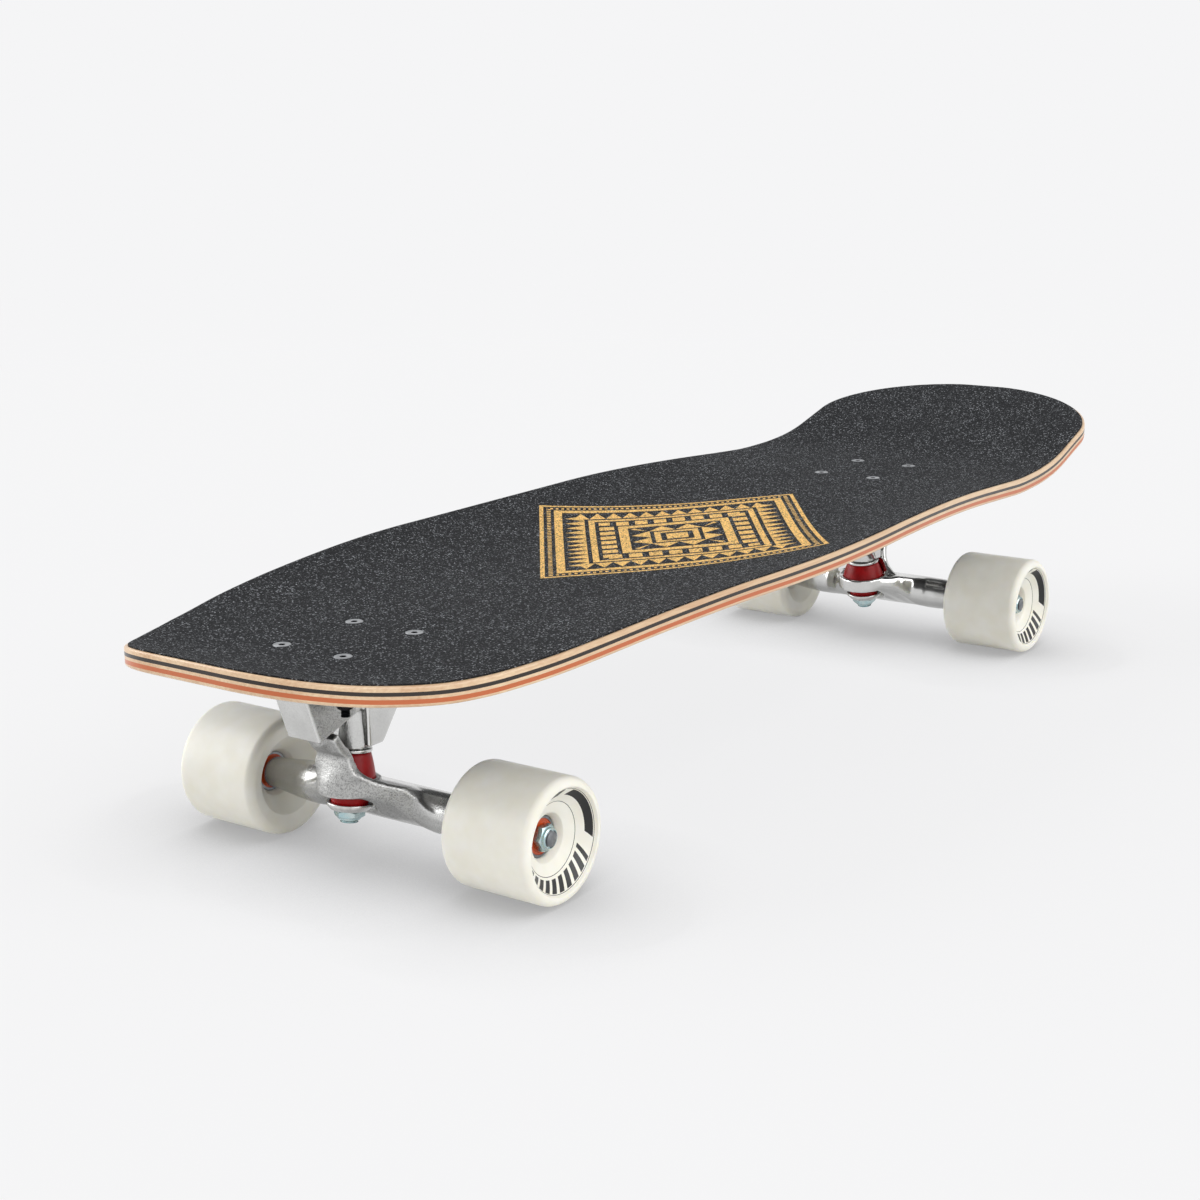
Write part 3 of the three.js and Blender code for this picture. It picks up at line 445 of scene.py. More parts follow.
def zinc_plated_steel(add):
    """Clear passivated zinc: bright, with a cold green and blue cast."""
    return plated_steel(add, colours().zinc, 0.2, linear("A9C6CB"))


def turned_steel(add):
    """Plain turned steel: mid grey, faintly ringed by the lathe."""
    return plated_steel(add, colours().steel, 0.3, linear("6F7276"))


def stamped_plated_steel(add):
    """Stamped and nickel plated steel: the brightest metal on the truck."""
    return plated_steel(add, linear("D6D6D4"), 0.16, linear("BDBDBB"))


def black_oxide_steel(add):
    """Steel blackened in hot oxide and oiled: dark, with a satin edge."""
    return plated_steel(add, colours().black_steel, 0.34, linear("2A2A2E"))


def worn_oxide_steel(add):
    """The heads' tops, where the black has worn to bare steel."""
    return plated_steel(add, linear("A7A9AC"), 0.3, linear("7E8184"))


def poured_urethane_bushing(add):
    """Poured red urethane: glossy, slightly see through, with a moulded sheen."""
    paint = colours()
    cloud = add("TexNoise", add("TexCoord", give="Object"), Scale=1 / mm(6))
    return add(
        "BsdfPrincipled",
        Base_Color=add(
            "Mix",
            add("MapRange", cloud, 0.3, 0.7),
            paint.bushing,
            linear("A80F14"),
            data_type="RGBA",
        ),
        Roughness=add("MapRange", cloud, 0.3, 0.7, 0.28, 0.38),
        Specular_IOR_Level=0.22,
        Subsurface_Weight=0.2,
        Subsurface_Radius=(1.0, 0.15, 0.12),
        Subsurface_Scale=mm(2),
    )


def wheel_print(add):
    """Where the black ink lies on a wheel's face: hair lines, a run of slanted bars and two solid arcs."""
    sizes = wheel_sizes()
    place = add("Attribute", attribute_name="place", give="Vector")
    axes = add("SeparateXYZ", place).node
    x, y, level = axes.outputs
    radius = add(
        "Math",
        add(
            "Math",
            add("Math", x, x, operation="MULTIPLY"),
            add("Math", y, y, operation="MULTIPLY"),
            operation="ADD",
        ),
        operation="SQRT",
    )
    turn = add("Math", add("Math", y, x, operation="ARCTAN2"), math.tau, operation="DIVIDE")
    turn = add("Math", add("Math", turn, 1.0, operation="ADD"), operation="FRACT")

    def within(value, low, high):
        inside = add("Math", value, low, operation="GREATER_THAN")
        return add("Math", inside, add("Math", value, high, operation="LESS_THAN"), operation="MULTIPLY")

    line = add(
        "Math",
        within(radius, sizes.dish_middle - mm(0.55), sizes.dish_middle - mm(0.25)),
        within(radius, sizes.print_outer + mm(0.3), sizes.print_outer + mm(0.55)),
        operation="ADD",
    )
    band = within(radius, sizes.print_inner, sizes.print_outer)
    slant = add(
        "Math",
        add("Math", radius, sizes.print_inner, operation="SUBTRACT"),
        PRINT_SLANT,
        operation="MULTIPLY",
    )
    leaning = add("Math", add("Math", turn, slant, operation="ADD"), operation="FRACT")
    bars = within(
        add("Math", add("Math", leaning, PRINT_BARS, operation="MULTIPLY"), operation="FRACT"), 0.0, 0.62
    )
    bars = add("Math", bars, within(leaning, 0.06, 0.44), operation="MULTIPLY")
    narrow = within(radius, sizes.print_inner + mm(2.4), sizes.print_outer)
    arcs = add("Math", within(leaning, 0.5, 0.72), narrow, operation="MULTIPLY")
    arcs = add(
        "Math",
        arcs,
        add("Math", within(leaning, 0.76, 0.98), narrow, operation="MULTIPLY"),
        operation="ADD",
    )
    solid = add("Math", band, add("Math", bars, arcs, operation="MAXIMUM"), operation="MULTIPLY")
    face = add("Math", level, PRINT_LEVEL, operation="GREATER_THAN")
    return add("Math", face, add("Math", line, solid, operation="MAXIMUM"), operation="MULTIPLY")


def cast_urethane_wheel(add):
    """Cast urethane turned true: creamy, satin, letting light a little way in, with ink on its outer face."""
    paint = colours()
    place = add("TexCoord", give="Object")
    cloud = add("TexNoise", place, Scale=1 / mm(14))
    cream = add(
        "Mix", add("MapRange", cloud, 0.3, 0.7), paint.urethane, linear("F0EDE0"), data_type="RGBA"
    )
    ink = wheel_print(add)
    fine = add("TexNoise", place, Scale=1 / mm(0.8))
    return add(
        "BsdfPrincipled",
        Base_Color=add("Mix", ink, cream, paint.ink, data_type="RGBA"),
        Roughness=add("MapRange", cloud, 0.3, 0.7, 0.36, 0.46),
        Subsurface_Weight=0.25,
        Subsurface_Radius=(1.0, 0.85, 0.5),
        Subsurface_Scale=mm(3),
        Normal=add("Bump", Height=fine, Distance=mm(0.03), Strength=0.5),
    )


def moulded_bearing_shield(add):
    """The orange shield that keeps grit out of a bearing: moulded, with fine ribs round its middle."""
    paint = colours()
    cloud = add("TexNoise", add("TexCoord", give="Object"), Scale=1 / mm(3))
    return add(
        "BsdfPrincipled",
        Base_Color=add(
            "Mix", add("MapRange", cloud, 0.3, 0.7), paint.shield, linear("B54419"), data_type="RGBA"
        ),
        Roughness=add("MapRange", cloud, 0.3, 0.7, 0.3, 0.42),
    )


def moulded_black_nylon(add):
    """Moulded black nylon: dark and dull, with a faint skin."""
    cloud = add("TexNoise", add("TexCoord", give="Object"), Scale=1 / mm(1.5))
    return add(
        "BsdfPrincipled",
        Base_Color=add(
            "Mix",
            add("MapRange", cloud, 0.3, 0.7),
            colours().nylon,
            linear("28282B"),
            data_type="RGBA",
        ),
        Roughness=add("MapRange", cloud, 0.3, 0.7, 0.5, 0.62),
        Normal=add("Bump", Height=cloud, Distance=mm(0.05), Strength=0.5),
    )


FINISHES = {}


def finish(maker):
    """The material that a maker function gives, made once."""
    name = maker.__name__
    if name not in FINISHES:
        material = FINISHES[name] = bpy.data.materials.new(name)
        material.use_nodes = True
        material.node_tree.nodes.clear()
        add = node_maker(material)
        add("OutputMaterial", maker(add))
    return FINISHES[name]


# Shapes
SEGMENTS = 96
SMALL_SEGMENTS = 72
WELD = mm(0.0001)
HEX = math.pi / 3
CHAMFER_START = 0.97  # a nut's corner cone starts at this share of the way out to its flats
CHAMFER_SLOPE = 0.58
THREAD_DEPTH = 0.55  # share of the pitch
NUT_ROOM = mm(0.05)  # between a nut and its thread


def turned(profile, segments=SEGMENTS):
    """A solid spun about Z from pairs of radius and level, on the axis at both ends or closed on itself."""
    bm = bmesh.new()
    verts = [bm.verts.new((radius, 0, level)) for radius, level in profile]
    pairs = list(zip(verts, verts[1:]))
    if profile[0][0] > 0:
        pairs.append((verts[-1], verts[0]))
    edges = [bm.edges.new(pair) for pair in pairs]
    bmesh.ops.spin(
        bm, geom=verts + edges, cent=(0, 0, 0), axis=(0, 0, 1), angle=math.tau, steps=segments, use_merge=True
    )
    bmesh.ops.remove_doubles(bm, verts=bm.verts[:], dist=WELD)
    bmesh.ops.recalc_face_normals(bm, faces=bm.faces[:])
    return bm


def soften(bm, radius, steps=3, from_degrees=30):
    """Rounds the edges that turn by more than an angle."""
    sharp = [e for e in bm.edges if e.is_manifold and e.calc_face_angle() > math.radians(from_degrees)]
    bmesh.ops.bevel(
        bm, geom=sharp, offset=radius, segments=steps, profile=0.5, affect="EDGES", material=-1,
        clamp_overlap=True,
    )
    return bm


def flatten_to_hex(bm, across, low, high):
    """Presses six flats into a turned shape between two levels."""
    for vert in bm.verts:
        if low - WELD <= vert.co.z <= high + WELD:
            angle = math.atan2(vert.co.y, vert.co.x) % HEX
            limit = across / 2 / math.cos(angle - HEX / 2)
            radius = vert.co.xy.length
            if radius > limit:
                vert.co.xy *= limit / radius
    return bm


def hex_profile(across, low, high, chamfer_low, chamfer_high, steps=5):
    """Radius and level pairs up the outside of a nut whose corners are turned off by a cone at its ends."""
    corner = across / math.sqrt(3)
    flat = across / 2 * CHAMFER_START
    reach = corner - flat
    cone = [(flat + reach * i / steps, reach * CHAMFER_SLOPE * i / steps) for i in range(steps + 1)]
    bottom = [(radius, low + rise) for radius, rise in cone] if chamfer_low else [(corner, low)]
    top = [(radius, high - rise) for radius, rise in cone[::-1]] if chamfer_high else [(corner, high)]
    return bottom + top


def thread_profile(radius, low, high, pitch):
    """Radius and level pairs down a threaded end, one groove for each turn of its thread."""
    depth = pitch * THREAD_DEPTH
    count = max(int((high - low) / pitch), 1)
    points = []
    for i in range(count):
        top = high - i * pitch
        groove = radius - depth
        points += [(radius, top - 0.1 * pitch), (groove, top - 0.45 * pitch), (groove, top - 0.6 * pitch)]
    points.append((radius, high - count * pitch + 0.05 * pitch))
    points.append((radius - depth, low + depth * 0.3))
    points.append((radius - 1.6 * depth, low))
    return points


def object_from(name, bm):
    """An object in the scene with a bmesh's shape."""
    mesh = bpy.data.meshes.new(name)
    bm.to_mesh(mesh)
    bm.free()
    obj = bpy.data.objects.new(name, mesh)
    bpy.context.scene.collection.objects.link(obj)
    return obj


def piece(name, bm, finishes, node, matrix=None, rides=True):
    """A finished piece in its place, standing for its CAD node and riding on that node's body."""
    place = bm.verts.layers.float_vector.new("place")
    for vert in bm.verts:
        vert[place] = vert.co
    if matrix is not None:
        bmesh.ops.transform(bm, matrix=matrix, verts=bm.verts[:])
    obj = object_from(name, bm)
    dress(obj, finishes)
    return settle(obj, node, rides)


def dress(obj, finishes, smooth_degrees=35):
    for maker in finishes:
        obj.data.materials.append(finish(maker))
    obj.data.shade_smooth()
    obj.data.set_sharp_from_angle(angle=math.radians(smooth_degrees))


def settle(obj, node, rides=True):
    """Hides the CAD node that a piece stands for, and makes the piece move with that node's body if it rides.
    """
    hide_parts(node)
    if rides:
        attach(obj, NODES[node]["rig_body"])
    return obj


def baked(obj):
    """Applies an object's modifiers to its mesh."""
    graph = bpy.context.evaluated_depsgraph_get()
    made = bpy.data.meshes.new_from_object(obj.evaluated_get(graph))
    obj.modifiers.clear()
    old = obj.data
    obj.data = made
    bpy.data.meshes.remove(old)
    return obj


# Places
def kingpin_matrix(truck):
    """Origin at the middle of the hanger's ring, Z up along the kingpin."""
    joint = JOINTS[f"{truck}_steering"]
    axis = Vector(joint["axis"])
    ring = Vector(joint["pos_m"]) - axis * truck_sizes().pivot_reach
    lean = -math.copysign(truck_sizes().lean, axis.x)
    return Matrix.Translation(ring) @ Matrix.Rotation(lean, 4, "Y")


def pivot_matrix(truck):
    """Origin at the pivot, Z along the steering axis."""
    joint = JOINTS[f"{truck}_steering"]
    turn = Vector((0, 0, 1)).rotation_difference(Vector(joint["axis"])).to_matrix().to_4x4()
    return Matrix.Translation(Vector(joint["pos_m"])) @ turn


def wheel_matrix(wheel):
    """Origin at the wheel's middle, Z outwards along the axle."""
    place = Vector(JOINTS[f"{wheel}_spin"]["pos_m"])
    side = math.copysign(math.pi / 2, -place.y)
    return Matrix.Translation(place) @ Matrix.Rotation(side, 4, "X")


def axle_matrix(truck):
    place = Vector(JOINTS[f"{truck}_left_spin"]["pos_m"])
    place.y = 0
    return Matrix.Translation(place) @ Matrix.Rotation(-math.pi / 2, 4, "X")


def screw_matrix(node):
    low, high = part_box(node)
    return Matrix.Translation(Vector(((low.x + high.x) / 2, (low.y + high.y) / 2, 0)))


def measured(node, matrix):
    """A CAD node's lowest and highest level and its outer radius, in the frame of a matrix."""
    inverse = matrix.inverted()
    points = [inverse @ vert.co for vert in NODES[node].data.vertices]
    levels = [point.z for point in points]
    return min(levels), max(levels), max(point.xy.length for point in points)


# Deck
SIDE_SHARES = (
    (-1, 0.819), (-0.82, 0.837), (-0.6, 0.87), (-0.48, 0.887), (-0.37, 0.909), (-0.13, 0.969), (0.1, 1),
    (0.34, 0.984), (0.49, 0.953), (0.69, 0.88), (0.8, 0.791), (1, 0.649),
)
FLAT_SHARE = 0.25
NOSE_POWER = 2.2
TAIL_POWER = 1.83
TRUCK_FLAT_INNER = mm(42)
NOSE_FLAT_OUTER = mm(31)
TAIL_FLAT_OUTER = mm(43)
NOSE_KICK = (mm(205), 0.39)
TAIL_KICK = (mm(200), 0.291)
CONCAVE_FULL = mm(80)
CONCAVE_END_FRONT = mm(350)
CONCAVE_END_REAR = mm(369)
NOSE_CONCAVE = mm(2.7)
TAIL_CONCAVE = mm(2.8)
END_CONCAVE_START = mm(6)
END_CONCAVE_RUN = mm(62)
DECK_ROWS = 260
DECK_COLUMNS = 72
RIM_STEPS = 5
PLATE_FILM = mm(0.3)  # between a baseplate and the deck
GRIP_THICKNESS = mm(0.85)
GRIP_FILM = mm(0.05)  # between the deck and the grip tape
GRIP_INSET = mm(0.25)
HOLE_ROOM = mm(0.25)
HOLE_DEPTH = mm(30)
HOLE_RISE = mm(10)
HOLE_SEGMENTS = 24
COUNTERSINK = mm(3)


def smoothstep(value, low, high):
    reach = min(max((value - low) / (high - low), 0), 1)
    return reach * reach * (3 - 2 * reach)


def side_share(place):
    """Half width as a share, through the table's points without corners."""
    last = len(SIDE_SHARES) - 1
    steps = list(zip(SIDE_SHARES, SIDE_SHARES[1:]))
    slopes = [(share - before) / (place_now - start) for (start, before), (place_now, share) in steps]
    bends = [0, *[(slopes[i - 1] + slopes[i]) / 2 for i in range(1, last)], 0]
    i = max(k for k in range(last) if SIDE_SHARES[k][0] <= place or k == 0)
    (start, low), (end, high) = SIDE_SHARES[i], SIDE_SHARES[i + 1]
    run = end - start
    t = (place - start) / run
    rest = 1 - t
    return (
        low * rest * rest * (1 + 2 * t)
        + high * t * t * (3 - 2 * t)
        + run * t * rest * (bends[i] * rest - bends[i + 1] * t)
    )


class Camber:
    """The deck's plan and its bends, as functions of a place on it."""

    def __init__(self):
        sizes = deck_sizes()
        self.sizes = sizes
        self.half = (sizes.nose_length + sizes.bolt_span + sizes.tail_length) / 2
        self.front = self.half - sizes.nose_length
        self.rear = sizes.tail_length - self.half
        self.middle = (self.front + self.rear) / 2
        self.widths = {}

    def rounded_in(self, distance, run, power):
        reach = min(max(1 - distance / run, 0), 1)
        return (1 - reach**power) ** (1 / power)

    def half_widths(self, x):
        """Half the width between the deck's sides, and half the width with the ends rounded in."""
        if x not in self.widths:
            side = side_share(min(max(x / self.half, -1), 1)) * self.sizes.width / 2
            nose = self.rounded_in(self.half - x, self.sizes.nose_round, NOSE_POWER)
            tail = self.rounded_in(self.half + x, self.sizes.tail_round, TAIL_POWER)
            tip = self.sizes.nose_tip if x > 0 else self.sizes.tail_tip
            self.widths[x] = (side, tip + (side - tip) * nose * tail)
        return self.widths[x]

    def kick(self, distance, radius, slope):
        if distance <= 0:
            return 0
        arc = radius * slope
        if distance < arc:
            return distance * distance / (2 * radius)
        return arc * arc / (2 * radius) + slope * (distance - arc)

    def rise(self, x):
        inner = self.sizes.bolt_span / 2 - TRUCK_FLAT_INNER
        reach = min(abs(x - self.middle) / inner, 1)
        rocker = -self.sizes.rocker * (1 - reach * reach) ** 2
        nose = self.kick(x - self.front - NOSE_FLAT_OUTER, *NOSE_KICK)
        return rocker + nose + self.kick(self.rear - TAIL_FLAT_OUTER - x, *TAIL_KICK)

    def dish(self, x):
        end = CONCAVE_END_FRONT if x > self.middle else CONCAVE_END_REAR
        middle = 1 - smoothstep(abs(x - self.middle), CONCAVE_FULL, end)
        nose = smoothstep(x, self.front + END_CONCAVE_START, self.front + END_CONCAVE_START + END_CONCAVE_RUN)
        start = END_CONCAVE_START - self.rear
        tail = smoothstep(-x, start, start + END_CONCAVE_RUN)
        return self.sizes.concave * middle + NOSE_CONCAVE * nose + TAIL_CONCAVE * tail

    def height(self, x, y):
        side, _ = self.half_widths(x)
        across = max(abs(y) / side - FLAT_SHARE, 0) / (1 - FLAT_SHARE)
        return self.rise(x) + self.dish(x) * across * across

    def point(self, row, column, inset, level):
        """A point of a sheet bent to the deck, from shares along and across it."""
        row_x = self.half * math.sin(row * math.pi / 2)
        x = row_x * (1 - inset / self.half)
        _, outline = self.half_widths(row_x)
        y = column * (outline - inset)
        return Vector((x, y, self.height(x, y) + level))


def bent_board(low, high, inset, edge):
    """A board bent to the deck's camber, with a rim that is rounded between its top and its underside."""
    camber = Camber()
    bm = bmesh.new()
    row, column, depth = [bm.verts.layers.float.new(name) for name in ("row", "column", "ply_depth")]
    bmesh.ops.create_grid(bm, x_segments=DECK_ROWS, y_segments=DECK_COLUMNS, size=1)
    for vert in bm.verts:
        vert[row], vert[column] = vert.co.x, vert.co.y

    def lay(verts, extra, level):
        for vert in verts:
            vert.co = camber.point(vert[row], vert[column], inset + extra, level)
            vert[depth] = (level - low) / (high - low)

    top = bm.faces[:]
    lay(bm.verts, edge, high)
    copied = bmesh.ops.duplicate(bm, geom=bm.verts[:] + bm.edges[:] + top)["geom"]
    under_faces = [item for item in copied if isinstance(item, bmesh.types.BMFace)]
    bmesh.ops.reverse_faces(bm, faces=under_faces)
    lay({vert for face in under_faces for vert in face.verts}, edge, low)
    rim = [e for e in bm.edges if e.is_boundary and e.link_faces[0] in set(top)]
    turn = [i * math.pi / 2 / RIM_STEPS for i in range(1, RIM_STEPS + 1)]
    steps = [(edge * (1 - math.sin(a)), high - edge * (1 - math.cos(a))) for a in turn]
    steps += [(edge * (1 - math.cos(a)), low + edge * (1 - math.sin(a))) for a in [0, *turn]]
    for extra, level in steps:
        grown = bmesh.ops.extrude_edge_only(bm, edges=rim)["geom"]
        rim = [item for item in grown if isinstance(item, bmesh.types.BMEdge)]
        lay([item for item in grown if isinstance(item, bmesh.types.BMVert)], extra, level)
    bmesh.ops.remove_doubles(bm, verts=bm.verts[:], dist=WELD)
    bmesh.ops.recalc_face_normals(bm, faces=bm.faces[:])
    return bm


def screw_cutters(top):
    """A countersunk hole for each mounting screw, as one cutting object."""
    sizes = truck_sizes()
    shank, head = sizes.screw_diameter / 2 + HOLE_ROOM, sizes.screw_head / 2 + HOLE_ROOM
    profile = [
        (0, top - HOLE_DEPTH), (shank, top - HOLE_DEPTH), (shank, top - COUNTERSINK),
        (head, top - mm(0.3)), (head, top + HOLE_RISE), (0, top + HOLE_RISE),
    ]
    bm = turned(profile, HOLE_SEGMENTS)
    first, *others = [screw_matrix(name.format("screw")) for name in SCREWS]
    cutter = bm.verts[:] + bm.edges[:] + bm.faces[:]
    for matrix in others:
        copied = bmesh.ops.duplicate(bm, geom=cutter)["geom"]
        verts = [item for item in copied if isinstance(item, bmesh.types.BMVert)]
        bmesh.ops.transform(bm, matrix=matrix, verts=verts)
    bmesh.ops.transform(bm, matrix=first, verts=[v for v in cutter if isinstance(v, bmesh.types.BMVert)])
    return object_from("screw_cutters", bm)


def drilled(obj, top):
    """Cuts the screw holes."""
    cutters = screw_cutters(top)
    cut = obj.modifiers.new("Screw holes", "BOOLEAN")
    cut.operation = "DIFFERENCE"
    cut.solver = "EXACT"
    cut.object = cutters
    baked(obj)
    mesh = cutters.data
    bpy.data.objects.remove(cutters)
    bpy.data.meshes.remove(mesh)
    return obj


class BoardDeck(bpy.types.Operator):
    """Builds the laminated deck"""

    bl_idname = "board.deck"
    bl_label = "Deck"

    def execute(self, context):
        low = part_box("front_baseplate")[1].z + PLATE_FILM
        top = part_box("front_screw_1")[1].z
        high = top - GRIP_THICKNESS - GRIP_FILM
        bm = bent_board(low, high, 0, context.scene.board_deck.edge_round)
        obj = piece("maple_deck", bm, [lacquered_maple_plies], "deck")
        drilled(obj, top)
        return {"FINISHED"}


class BoardGrip(bpy.types.Operator):
    """Builds the grip tape on the deck"""

    bl_idname = "board.grip"
    bl_label = "Grip tape"

    def execute(self, context):
        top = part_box("front_screw_1")[1].z
        bm = bent_board(top - GRIP_THICKNESS, top, context.scene.board_deck.edge_round, GRIP_INSET)
        obj = piece("grip_sheet", bm, [abrasive_grip_sheet], "grip_tape")
        drilled(obj, top)
        return {"FINISHED"}


# Mounting screws
SCREW_THREAD_RUN = mm(16)
SCREW_HEAD_HEIGHT = mm(2.6)
SOCKET_DEPTH = mm(1.6)
LOCK_NUT_COLLAR = mm(1.5)


class BoardScrews(bpy.types.Operator):
    """Builds the eight mounting screws and their lock nuts"""

    bl_idname = "board.screws"
    bl_label = "Mounting screws"

    def execute(self, context):
        sizes = context.scene.board_truck
        for name in SCREWS:
            self.screw(name, sizes)
            self.nut(name, sizes)
        return {"FINISHED"}

    def screw(self, name, sizes):
        node = name.format("screw")
        matrix = screw_matrix(node)
        low, high, _ = measured(node, matrix)
        shank, head, socket = sizes.screw_diameter / 2, sizes.screw_head / 2, sizes.screw_socket
        corner, floor = socket / math.sqrt(3), high - SOCKET_DEPTH
        thread = thread_profile(shank, low, low + SCREW_THREAD_RUN, sizes.screw_pitch)
        profile = [
            (0, floor - mm(0.3)), (socket * 0.3, floor - mm(0.2)), (corner, floor),
            (corner, high - mm(0.15)), (corner + mm(0.2), high),
            (head - mm(0.25), high), (head, high - mm(0.25)), (head, high - mm(0.45)),
            (shank, high - SCREW_HEAD_HEIGHT), *thread, (0, low),
        ]
        bm = turned(profile, SMALL_SEGMENTS)
        for vert in bm.verts:
            near = vert.co.xy.length < corner + mm(0.05)
            if near and floor - mm(0.1) < vert.co.z < high - mm(0.1):
                angle = math.atan2(vert.co.y, vert.co.x) % HEX
                vert.co.xy *= math.cos(HEX / 2) / math.cos(angle - HEX / 2)
        for face in bm.faces:
            centre = face.calc_center_median()
            worn = centre.z > high - mm(0.35) and centre.xy.length > socket * 0.55
            face.material_index = 1 if worn else 0
        finishes = [black_oxide_steel, worn_oxide_steel]
        piece(f"mounting_{node}", bm, finishes, node, matrix)

    def nut(self, name, sizes):
        node = name.format("lock_nut")
        matrix = screw_matrix(node)
        low, high, _ = measured(node, matrix)
        across, bore = sizes.lock_nut_across, sizes.screw_diameter / 2 + NUT_ROOM
        collar = low + LOCK_NUT_COLLAR
        profile = [
            (bore + mm(0.5), low), (across * 0.36, low), (across * 0.43, low + mm(0.5)),
            (across * 0.44, collar - mm(0.1)), *hex_profile(across, collar, high, True, False),
            (bore + mm(0.3), high), (bore, high - mm(0.3)), (bore, low + mm(1)),
            (bore + mm(0.5), low + mm(0.9)),
        ]
        bm = flatten_to_hex(turned(profile, SMALL_SEGMENTS), across, collar, high)
        piece(f"hex_{node}", bm, [black_oxide_steel], node, matrix)


# Castings
MERGE = mm(0.001)
PLATE_ROUNDS = 8
PLATE_POLISH = 0.9
HANGER_ROUNDS = 26
HOLLOW_ROUNDS = 14
HOLLOW_SPAN = mm(0.5)


def cast_copy(name, node, rounds, polish):
    """A casting: the CAD shape with a fine skin and its edges rounded as a mould leaves them."""
    bm = bmesh.new()
    bm.from_mesh(NODES[node].data)
    bmesh.ops.remove_doubles(bm, verts=bm.verts[:], dist=MERGE)
    obj = object_from(name, bm)
    skin = obj.modifiers.new("Skin", "REMESH")
    skin.mode = "VOXEL"
    skin.voxel_size = truck_sizes().cast_voxel
    ease = obj.modifiers.new("Tumbled", "SMOOTH")
    ease.factor = 0.5
    ease.iterations = rounds
    baked(obj)
    layer = obj.data.attributes.new("polish", "FLOAT", "POINT")
    layer.data.foreach_set("value", [polish(vert) for vert in obj.data.vertices])
    mark_hollows(obj.data)
    dress(obj, [tumbled_cast_aluminium], 180)
    return settle(obj, node)


def mark_hollows(mesh):
    """Writes how far each point lies in a hollow or out on a ridge, from minus one to one, for the painted
    shade and highlights of the cast aluminium.
    """
    bm = bmesh.new()
    bm.from_mesh(mesh)
    before = [vert.co.copy() for vert in bm.verts]
    normals = [vert.normal.copy() for vert in bm.verts]
    for _ in range(HOLLOW_ROUNDS):
        bmesh.ops.smooth_vert(
            bm, verts=bm.verts[:], factor=0.5, use_axis_x=True, use_axis_y=True, use_axis_z=True
        )
    points = zip(bm.verts, before, normals)
    moves = [(vert.co - old).dot(normal) / HOLLOW_SPAN for vert, old, normal in points]
    bm.free()
    layer = mesh.attributes.new("hollow", "FLOAT", "POINT")
    layer.data.foreach_set("value", [min(max(move, -1), 1) for move in moves])


class BoardBaseplates(bpy.types.Operator):
    """Builds the two cast baseplates"""

    bl_idname = "board.baseplates"
    bl_label = "Baseplates"

    def execute(self, context):
        for truck in TRUCKS:
            low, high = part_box(f"{truck}_screw_1")[0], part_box(f"{truck}_screw_4")[1]
            middle = (low.x + high.x) / 2
            towards = math.copysign(1, JOINTS[f"{truck}_steering"]["axis"][0])

            def polish(vert):
                pivot_side = smoothstep((vert.co.x - middle) * towards, mm(6), mm(12))
                return PLATE_POLISH - pivot_side * abs(vert.normal.y)

            cast_copy(f"cast_{truck}_baseplate", f"{truck}_baseplate", PLATE_ROUNDS, polish)
        return {"FINISHED"}


class BoardHangers(bpy.types.Operator):
    """Builds the two cast hangers"""

    bl_idname = "board.hangers"
    bl_label = "Hangers"

    def execute(self, context):
        for truck in TRUCKS:
            axle = Vector(JOINTS[f"{truck}_left_spin"]["pos_m"])
            towards = math.copysign(1, JOINTS[f"{truck}_steering"]["axis"][0])

            def polish(vert):
                behind = smoothstep((axle.x - vert.co.x) * towards, mm(-9), mm(-2))
                arm = smoothstep(abs(vert.co.y), mm(24), mm(52))
                return max(behind, arm * 0.8)

            cast_copy(f"cast_{truck}_hanger", f"{truck}_hanger", HANGER_ROUNDS, polish)
        return {"FINISHED"}


# Kingpin stacks
KINGPIN_THREAD_RUN = mm(16)
KINGPIN_HEAD_HEIGHT = mm(5.5)
KINGPIN_NUT_COLLAR = mm(1.4)
CUSHION_BELLY = mm(0.25)
CUSHION_STEPS = 8
CUP_RIM = mm(1.2)
CUP_WALL = mm(1.8)
PIVOT_BALL = mm(5)
PIVOT_STEPS = 8


class BoardKingpins(bpy.types.Operator):
    """Builds the kingpins and their lock nuts"""

    bl_idname = "board.kingpins"
    bl_label = "Kingpins"

    def execute(self, context):
        sizes = context.scene.board_truck
        for truck in TRUCKS:
            matrix = kingpin_matrix(truck)
            self.pin(truck, matrix, sizes)
            self.nut(truck, matrix, sizes)
        return {"FINISHED"}

    def pin(self, truck, matrix, sizes):
        node = f"{truck}_kingpin"
        low, high, corner = measured(node, matrix)
        radius = sizes.kingpin_diameter / 2
        across = corner * math.sqrt(3)
        foot = high - KINGPIN_HEAD_HEIGHT
        thread = thread_profile(radius, low, low + KINGPIN_THREAD_RUN, sizes.kingpin_pitch)
        profile = [
            (0, high), *hex_profile(across, foot, high, False, True)[::-1],
            (radius + mm(0.4), foot), (radius, foot - mm(0.4)), *thread, (0, low),
        ]
        bm = flatten_to_hex(turned(profile, SMALL_SEGMENTS), across, foot, high)
        piece(f"{truck}_king_bolt", bm, [zinc_plated_steel], node, matrix)

    def nut(self, truck, matrix, sizes):
        node = f"{truck}_kingpin_nut"
        low, high, _ = measured(node, matrix)
        across, bore = sizes.nut_across, sizes.kingpin_diameter / 2 + NUT_ROOM
        collar = low + KINGPIN_NUT_COLLAR
        profile = [
            (bore + mm(0.9), low), (across * 0.37, low), (across * 0.43, low + mm(0.5)),
            (across * 0.445, collar - mm(0.1)), *hex_profile(across, collar, high, True, True),
            (bore + mm(0.5), high), (bore, high - mm(0.5)), (bore, low + mm(1.1)),
            (bore + mm(0.9), low + mm(1)),
        ]
        bm = flatten_to_hex(turned(profile, SMALL_SEGMENTS), across, collar, high)
        piece(f"{truck}_king_nut", bm, [zinc_plated_steel], node, matrix)


